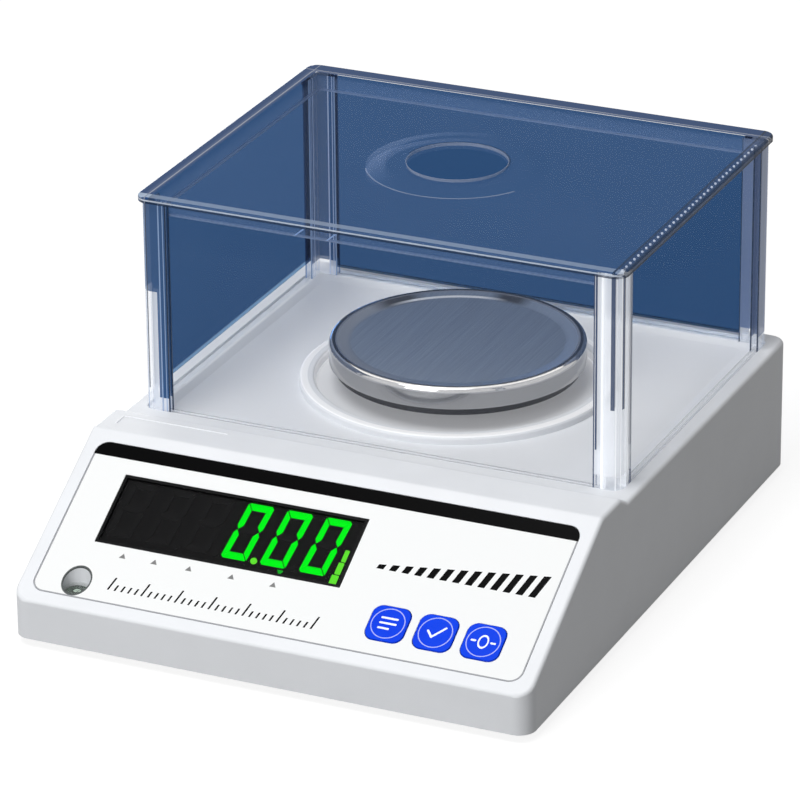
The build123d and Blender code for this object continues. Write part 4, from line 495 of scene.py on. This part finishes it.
# painted shading: the tint is painted a little lighter towards the top
deep = blue.mix(z.ramp(*PANEL_Z), (0.021, 0.060, 0.150), (0.028, 0.076, 0.182))
deep = blue.mix(cloud, deep, (0.026, 0.072, 0.175))
clear_foot = z < TINT_LOW + LEFT_LIFT * (x < LEFT_FACE)
blue.set("Base Color", blue.mix(clear_foot, deep, (0.90, 0.92, 0.95)))
blue.set("Roughness", cloud * 0.002)
wear("shield_panel_left", "shield_panel_rear", paint=blue)
print("sheets", clear.material.name, blue.material.name)

# %% [markdown]
# A corner post is an L-shaped bar with a slot for each panel. Along each leg the eye meets the outer
# corner, the slot and the leg's end, and each gets a painted highlight or a painted dark line, where
# the light runs out or is lost. The distance along a leg is the larger of the two distances from the
# shield's outer faces. A dark line also has a height where it ends. Each post also glows a little in
# its own colour, a painted light, and the rear left post is a lighter copy with paler painted lines.
# The lower part of the front left post's outer corner is clear, like every post's foot.

# %% Corner posts
SHIELD_HALF, SHIELD_Y = (117.5, 92.75), 56.05
POST_FOOT, CLEAR_CORNER_X, CLEAR_CORNER_Z = 74.0, -109.5, 126.0
NAVY, SKY = (0.012, 0.03, 0.07), (0.026, 0.075, 0.185)
SLATE, PALE = (0.115, 0.165, 0.29), (0.80, 0.83, 0.88)
LIGHT_LINES = ((1.7, 2.3), (9.2, 9.8), (11.4, 11.8))
SLOT_LINE = ((2.5, 3.2, 78.0),)


def post(name, body, strength, dark, shine, glow, dark_lines=SLOT_LINE, light_lines=LIGHT_LINES):
    """The strength is how much the body covers. Lines go from one distance along the leg to another.
    Shine and dark are the colours of the painted highlights and dark lines, and glow is a painted light.
    """
    paint = Paint(name, body, Specular_IOR_Level=0.25, Emission_Strength=glow)
    x, y, z = paint.place()
    along = (SHIELD_HALF[0] - abs(x)) | (SHIELD_HALF[1] - abs(y - SHIELD_Y))
    # painted highlights and painted dark lines at the corner, the slot and the leg's end
    lights = any_of(between(along, low, high) for low, high in light_lines)
    painted_dark_lines = (along < 0.9) | (along > 12.5)
    painted_dark_lines = painted_dark_lines | any_of(between(along, low, high) * (z > bottom) for low, high, bottom in dark_lines)
    foot = (z < POST_FOOT) | (y < 0.0) * (x < CLEAR_CORNER_X) * (z < CLEAR_CORNER_Z)
    cloud = paint.noise(25, 2, (1, 1, 0.3))
    base = paint.mix(cloud, tuple(c * 0.85 for c in body), body)
    base = paint.mix(foot, base, (0.75, 0.79, 0.86))
    finish = paint.mix(lights, paint.mix(painted_dark_lines, base, dark), shine)
    paint.set("Base Color", finish)
    # painted light: the post glows in its own colour
    paint.set("Emission Color", finish)
    paint.set("Alpha", (1.0 - foot * 0.65) * strength | lights * 0.6 | painted_dark_lines * 0.9)
    paint.set("Roughness", cloud * 0.05 + 0.08)
    return paint


CLEAR_LINES = ((3.0, 4.8, 106.0), (11.3, 12.1, 86.0)), ((2.2, 2.7), (8.2, 9.4))  # darks, lights
posts = {
    "front_left": post("blue_posts", SKY, 0.86, NAVY, (0.20, 0.29, 0.46), 0.35),
    # a lighter copy: the rear left post gets paler painted lines
    "rear_left": post("lit_blue_post", SKY, 0.86, (0.17, 0.24, 0.38), (0.33, 0.40, 0.56), 0.35, ()),
    "rear_right": post("grey_post", SLATE, 0.84, NAVY, (0.45, 0.52, 0.66), 0.3, SLOT_LINE, LIGHT_LINES[:1]),
    "front_right": post("clear_post", PALE, 0.5, (0.03, 0.05, 0.11), (0.95, 0.97, 1.0), 0.35, *CLEAR_LINES),
}
for corner, paint in posts.items():
    wear(f"shield_post_{corner}", paint=paint)
print("posts", [paint.material.name for paint in posts.values()])

# %% [markdown]
# The lid is one sheet with a rounded rim, a skirt below that keeps it in place, and a low dome round
# its hole. Its middle is almost clear. The rim, the skirt's lower edge and the hole's edge get painted
# highlights and painted dark lines where they gather or lose light, by their distance from the lid's
# edges or from the hole's middle. The rim gets painted shading by side: dark at the back, left and
# right, pale at the front. The dome gets a painted highlight on its left side. Each mark has a mask, a
# colour and a share of cover.

# %% Lid
LID_X, LID_Y, HOLE_Y = (-119.25, 119.25), (-38.45, 150.55), 53.5
lid = Paint("lid_acrylic", (0.30, 0.44, 0.75), Specular_IOR_Level=0.04)
x, y, z = lid.place()
from_left, from_right, from_front, from_back = x - LID_X[0], LID_X[1] - x, y - LID_Y[0], LID_Y[1] - y
from_edge = (from_left & from_right) & (from_front & from_back)
radius = away(x, y - HOLE_Y)
top, skirt = z > 169.45, z < 169.35
# painted shading by side and painted highlights and dark lines along the rim, skirt and hole
far_rim = ((from_left < 7.4) | (from_back < 10.2)) * top
right_rim = (from_right < 5.6) * top
front_band = between(from_front, 0.6, 4.6) * (z > 171.6)
front_line = (from_front < 2.0) * between(z, 170.5, 171.2)
rim_light = (between(from_left, 5.2, 5.8) | between(from_back, 7.6, 8.4)) * top
rim_dark = (from_edge < 0.9) * (z < 170.5) | (between(from_right, 4.4, 5.6) | (from_right < 1.2)) * top
skirt_line = skirt * (z < 163.0)
# painted highlight on the dome's left side
lit_side = ((y - HOLE_Y) * 0.45 - x + 8) / 50.0 | 0.0
dome_highlight = between(radius, 33.0, 42.0) * lit_side
arc = between(radius, 41.7, 42.3) * (y < HOLE_Y - 20) * (z > 171.5)
hole_light = between(radius, 23.2, 23.7) * (z > 173.0)
hole_dark = between(radius, 23.7, 24.6) * (z > 173.0) * (y > HOLE_Y)
latch_zone = skirt * (from_front < 8.5) * (z < 166.6)
latch = any_of(abs(x - latch_x - (z - 163.0) * 1.2) < 0.45 for latch_x in (-41.7, -25.9)) * latch_zone

tone = (0.30, 0.44, 0.75)
for mask, color in (
    (far_rim, (0.016, 0.055, 0.16)),
    (right_rim, (0.018, 0.05, 0.13)),
    (front_band, (0.33, 0.41, 0.54)),
    (rim_dark | hole_dark, NAVY),
    (rim_light, (0.21, 0.24, 0.32)),
    (hole_light | arc, (0.50, 0.54, 0.66)),
    (front_line, (0.62, 0.68, 0.78)),
    (skirt_line, (0.20, 0.28, 0.46)),
    (dome_highlight, (0.42, 0.58, 0.95)),
):
    tone = lid.mix(mask, tone, color)
lid.set("Base Color", tone)
cover = far_rim * 0.93 | (rim_light | latch | front_line) * 0.8 | rim_dark * 0.7 | skirt_line * 0.55
cover = cover | (front_band | hole_dark) * 0.5 | right_rim * 0.45 | hole_light * 0.34 | arc * 0.3
haze = lid.noise(30, 2)
lid.set("Alpha", cover | dome_highlight * 0.11 | skirt * 0.07 | (haze * 0.01 + 0.03))
lid.set("Roughness", haze * 0.04 + between(radius, 24.0, 43.0) * 0.4 + 0.05)
wear("shield_lid", paint=lid)
print("lid", lid.material.name)

# %% [markdown]
# The spirit level is a clear cup of green fluid in a well, with a ring printed on its lens to show
# where the bubble should stand.

# %% Spirit level
vial = Paint("level_clear", (0.75, 0.8, 0.78), Roughness=0.1, Specular_IOR_Level=0.2)
x, y, z = vial.place()
ring = circle_line(x - LEVEL[0], y - LEVEL[1], 2.4, 0.35)
vial.set("Base Color", vial.mix(ring, (0.72, 0.77, 0.75), (0.01, 0.01, 0.01)))
vial.set("Alpha", ring * 0.7 + 0.08)
wear("level_cup", "level_lens", paint=vial)
fluid = Paint("level_fluid", (0.03, 0.085, 0.045), Roughness=0.15)
fluid.set("Base Color", fluid.mix(fluid.noise(220, 2), (0.006, 0.020, 0.010), (0.045, 0.085, 0.055)))
wear("level_liquid", paint=fluid)
air = Paint("level_air", (0.5, 0.62, 0.52), Roughness=0.08)
air.set("Base Color", air.mix(air.noise(400, 1), (0.42, 0.55, 0.45), (0.6, 0.72, 0.62)))
wear("level_bubble", paint=air)
print("level ready:", vial.material.name, fluid.material.name, air.material.name)

# %% [markdown]
# The remaining nodes are the boards, cables and rubber parts inside, the feet, and the rocker at the
# back with its two painted signs. They get their own simple finishes.

# %% Inner pieces, feet and rocker
CORNERS = ("front_left", "front_right", "rear_left", "rear_right")
WIRE_PITCH = 1.27
ROCKER_Z, ON_X, OFF_X, ROCKER_FACE_Y = 36, -51.0, -59.0, 150
laminate = moulded("board_laminate", (0.02, 0.13, 0.05), 0.35)
wear("display_board", "main_board", paint=laminate)
rubber = moulded("rubber", (0.03, 0.03, 0.032), 0.7, 0.4)
wear("pan_pads", "cell_cable", *[f"foot_pad_{c}" for c in CORNERS], paint=rubber)
silicone = moulded("silicone", (0.8, 0.8, 0.77), 0.5)
wear("gauge_covers", paint=silicone)
ribbon = Paint("ribbon_wires", (0.4, 0.4, 0.42), Roughness=0.5)
x, y, z = ribbon.place()
# painted shade: the grooves between the wires are painted darker
groove = abs((x / WIRE_PITCH).math("FRACT") - 0.5) > 0.42
ribbon.set("Base Color", ribbon.mix(groove, (0.42, 0.43, 0.45), (0.2, 0.2, 0.22)))
wear("ribbon_cable", paint=ribbon)
rocker = moulded("rocker_black", (0.02, 0.02, 0.022), 0.3)
x, y, z = rocker.place()
signs = (abs(x - ON_X) < 0.35) * (abs(z - ROCKER_Z) < 1.8) | circle_line(x - OFF_X, z - ROCKER_Z, 1.5, 0.5)
rocker.mark(signs * (y > ROCKER_FACE_Y), (0.85, 0.85, 0.85))
wear("power_rocker", paint=rocker)
wear(*[f"foot_stud_{c}" for c in CORNERS], paint=zinc)
print("inner pieces, feet and rocker ready")

# %% [markdown]
# The rest is modelled as by hand and rides on the body that carries it. These helpers name a new
# object, select faces or edges by a test on their middle, and finish a piece with outward normals.

# %% Helpers for modelling


def fresh(name):
    """Takes the new active object, names it and leaves it in edit mode with nothing selected."""
    made = bpy.context.object
    made.name = made.data.name = name
    bpy.ops.object.mode_set(mode="EDIT")
    bpy.ops.mesh.select_all(action="DESELECT")
    return made


def pick(made, parts, wanted):
    """Selects the faces or edges whose middle passes the test."""
    bpy.ops.mesh.select_mode(type="FACE" if parts == "faces" else "EDGE")
    bpy.ops.mesh.select_all(action="DESELECT")
    shape = bmesh.from_edit_mesh(made.data)
    for part in getattr(shape, parts):
        middle = sum((v.co for v in part.verts), Vector()) / len(part.verts)
        if wanted(middle, part):
            part.select_set(True)
    shape.select_flush_mode()
    bmesh.update_edit_mesh(made.data)


def spans(edge, axis):
    """How far an edge reaches along an axis."""
    return abs(edge.verts[0].co[axis] - edge.verts[1].co[axis])


def finished(made, paint, body):
    """Turns the faces outward, gives the paint and lets the piece ride on its body."""
    bpy.ops.mesh.select_all(action="SELECT")
    bpy.ops.mesh.normals_make_consistent(inside=False)
    bpy.ops.object.mode_set(mode="OBJECT")
    bpy.ops.object.transform_apply(location=True, rotation=True, scale=True)
    made.data.materials.clear()
    made.data.materials.append(paint.material)
    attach(made, body)
    print(made.name, len(made.data.polygons), "faces, rides on", body)


def bar(name, low, high):
    """A box between two corners in millimetres, ready to be worked on in edit mode."""
    middle = [(a + b) / 2 / MM for a, b in zip(low, high)]
    size = [(b - a) / MM for a, b in zip(low, high)]
    bpy.ops.object.select_all(action="DESELECT")
    bpy.ops.mesh.primitive_cube_add(size=1, location=middle)
    bpy.context.object.scale = size
    bpy.ops.object.transform_apply(location=True, rotation=True, scale=True)
    return fresh(name)


print("modelling helpers ready")

# %% [markdown]
# The shelf in front of the shield has a raised L-shaped line, a moulded witness for setting the
# shield. It starts as a thin bar. A cut marks off its end, the end's front face is extruded to make the
# short leg, and the top edges are bevelled.

# %% Shelf line
SHELF_TOP, LINE_LEFT, LINE_CUT, LINE_Y, LEG = 72.4, -117.0, -116.1, (-58.9, -58.0), 8.4
LINE_RIGHT, LINE_RISE, LINE_SINK = -64.0, 0.3, 0.1
low, high = SHELF_TOP - LINE_SINK, SHELF_TOP + LINE_RISE
made = bar("shelf_line", (LINE_LEFT, LINE_Y[0], low), (LINE_RIGHT, LINE_Y[1], high))
bpy.ops.mesh.select_all(action="SELECT")
bpy.ops.mesh.bisect(plane_co=(LINE_CUT / MM, 0, 0), plane_no=(1, 0, 0))
pick(made, "faces", lambda m, f: f.normal.y < -0.9 and m.x < LINE_CUT / MM)
bpy.ops.mesh.extrude_region_move(TRANSFORM_OT_translate={"value": (0, -LEG / MM, 0)})
pick(made, "edges", lambda m, e: all(abs(v.co.z - high / MM) < 1e-5 for v in e.verts))
bpy.ops.mesh.bevel(offset=0.15 / MM, segments=2, affect="EDGES")
finished(made, abs_white, "base")

# %% [markdown]
# A row of small beads under the right rim centres the lid on the side panel. One bead is a low ball,
# flattened on top where it grows out of the sheet, and an array repeats it along the rim. The beads
# glow a little in their own colour, a painted light.

# %% Lid beads
BEAD_R, BEAD_STEP, BEAD_COUNT = 0.58, 4.7, 36
BEAD_X, BEAD_Y, BEAD_Z, BEAD_TOP = 113.62, -26.5, 168.9, 169.3
# painted light: the beads glow in their own colour
bead_paint = Paint("lid_bead", (0.75, 0.8, 0.9), Specular_IOR_Level=0.3, Emission_Strength=0.45)
bead_tone = bead_paint.noise(700, 1)
bead_color = bead_paint.mix(bead_tone, (0.55, 0.62, 0.78), (0.9, 0.93, 1.0))
bead_paint.set("Base Color", bead_color)
bead_paint.set("Emission Color", bead_color)
bead_paint.set("Roughness", bead_tone * 0.1 + 0.1)
bpy.ops.object.select_all(action="DESELECT")
bead_place = (BEAD_X / MM, BEAD_Y / MM, BEAD_Z / MM)
bpy.ops.mesh.primitive_uv_sphere_add(segments=16, ring_count=8, radius=BEAD_R / MM, location=bead_place)
made = fresh("lid_beads")
bpy.ops.mesh.select_all(action="SELECT")
bpy.ops.mesh.bisect(plane_co=(0, 0, BEAD_TOP / MM), plane_no=(0, 0, 1), clear_outer=True, use_fill=True)
bpy.ops.object.mode_set(mode="OBJECT")
bpy.ops.object.modifier_add(type="ARRAY")
row = made.modifiers[-1]
row.use_relative_offset, row.use_constant_offset = False, True
row.constant_offset_displace, row.count = (0, BEAD_STEP / MM, 0), BEAD_COUNT
bpy.ops.object.modifier_apply(modifier=row.name)
bpy.ops.object.mode_set(mode="EDIT")
finished(made, bead_paint, "lid")

# %% [markdown]
# The jack is held by a round nut against the pocket's floor. The nut starts as a short cylinder; its two
# ends are inset, the inner discs are deleted and the two rims are bridged, which makes the bore. The
# outer rims are bevelled.

# %% Jack nut
JACK_X, JACK_Z, POCKET_Y, NUT_R, NUT_WALL, NUT_T = -24.0, 36.0, 152.0, 7.0, 1.9, 1.5
bpy.ops.object.select_all(action="DESELECT")
nut_x, nut_y, nut_z = JACK_X / MM, (POCKET_Y + NUT_T / 2) / MM, JACK_Z / MM
size = {"vertices": 48, "radius": NUT_R / MM, "depth": NUT_T / MM}
bpy.ops.mesh.primitive_cylinder_add(location=(nut_x, nut_y, nut_z), rotation=(math.pi / 2, 0, 0), **size)
bpy.ops.object.transform_apply(location=True, rotation=True, scale=True)
made = fresh("jack_nut")
pick(made, "faces", lambda m, f: abs(f.normal.y) > 0.9)
bpy.ops.mesh.inset(thickness=NUT_WALL / MM)
bpy.ops.mesh.delete(type="FACE")
pick(made, "edges", lambda m, e: e.is_boundary)
bpy.ops.mesh.bridge_edge_loops()
rim_start = (NUT_R - 0.4) / MM
pick(made, "edges", lambda m, e: math.hypot(m.x - nut_x, m.z - nut_z) > rim_start and spans(e, 1) < 1e-6)
bpy.ops.mesh.bevel(offset=0.4 / MM, segments=2, affect="EDGES")
finished(made, zinc, "base")

# %% [markdown]
# Underneath, a plate gives such a scale its ratings. This one is blank. It is a thin bar with rounded
# corners and an inset field, sunk a little so that a fine border stands round it.

# %% Blank plate
PLATE_LOW, PLATE_HIGH = (12.0, 20.0, 3.6), (84.0, 62.0, 4.0)
PLATE_CORNER, PLATE_BORDER, PLATE_SUNK = 3.0, 1.2, 0.15
made = bar("blank_plate", PLATE_LOW, PLATE_HIGH)
pick(made, "edges", lambda m, e: spans(e, 2) > 1e-5)
bpy.ops.mesh.bevel(offset=PLATE_CORNER / MM, segments=5, affect="EDGES")
pick(made, "faces", lambda m, f: f.normal.z < -0.9)
bpy.ops.mesh.inset(thickness=PLATE_BORDER / MM)
bpy.ops.transform.translate(value=(0, 0, PLATE_SUNK / MM))
finished(made, plate, "base")

# %% [markdown]
# The stage is a floor that shows white to the camera and in reflections, and is dull for all other
# light, so it keeps the shadow without lighting the scale from below.

# %% Floor
FLOOR_GREY, FLOOR_SEEN = 0.22, 0.86
SEEN_RAYS = ("Is Camera Ray", "Is Glossy Ray", "Is Transmission Ray")
bpy.ops.object.select_all(action="DESELECT")
bpy.ops.mesh.primitive_plane_add(size=12, location=(0, 0, 0))
ground = bpy.context.object
ground.name = "ground"
ground_paint = Paint("ground", (FLOOR_GREY,) * 3, Roughness=0.9, Specular_IOR_Level=0.0)
path = ground_paint.node("ShaderNodeLightPath")
seen = any_of(Wire(ground_paint, path.socket.node.outputs[ray]) for ray in SEEN_RAYS)
ground_paint.set("Emission Color", (1, 1, 1, 1))
ground_paint.set("Emission Strength", seen * FLOOR_SEEN)
ground.data.materials.append(ground_paint.material)
print("floor", ground.name)

# %% [markdown]
# A soft lamp above, a little in front, gives the shape and the shadow under the pan. A second one fills
# the upright front wall and a third, low behind, the back wall. An even world, white where it is seen,
# keeps the right side from going black.

# %% World and lamps
WORLD_LIGHT, WORLD_SEEN = 0.21, 1.0
world = bpy.data.worlds.new("world")
bpy.context.scene.world = world
world.use_nodes = True
tree = world.node_tree
light_path = tree.nodes.new("ShaderNodeLightPath")
strength = light_path.outputs[SEEN_RAYS[0]]
for ray in SEEN_RAYS[1:]:
    either = tree.nodes.new("ShaderNodeMath")
    either.operation = "MAXIMUM"
    tree.links.new(strength, either.inputs[0])
    tree.links.new(light_path.outputs[ray], either.inputs[1])
    strength = either.outputs[0]
amount = tree.nodes.new("ShaderNodeMapRange")
amount.inputs["To Min"].default_value = WORLD_LIGHT
amount.inputs["To Max"].default_value = WORLD_SEEN
tree.links.new(strength, amount.inputs["Value"])
tree.links.new(amount.outputs[0], tree.nodes["Background"].inputs["Strength"])
tree.nodes["Background"].inputs["Color"].default_value = (1, 1, 1, 1)
AIM = Vector((0, 0, 0.08))


def lamp(name, direction, distance, size, share):
    """A square lamp that gives a facing white surface this share of full white."""
    data = bpy.data.lights.new(name, "AREA")
    data.shape, data.size, data.energy = "SQUARE", size, share * math.pi**2 * distance**2
    made = bpy.data.objects.new(name, data)
    made.location = AIM + Vector(direction).normalized() * distance
    made.rotation_euler = (AIM - made.location).to_track_quat("-Z", "Y").to_euler()
    bpy.context.scene.collection.objects.link(made)
    print("lamp", name, "power", round(data.energy, 1))


lamp("top_lamp", (-0.12, -0.30, 0.94), 2.3, 1.4, 0.76)
lamp("front_lamp", (-0.15, -0.93, 0.31), 2.5, 1.2, 0.40)
lamp("rear_lamp", (-0.60, 0.80, -0.01), 2.6, 0.9, 0.34)
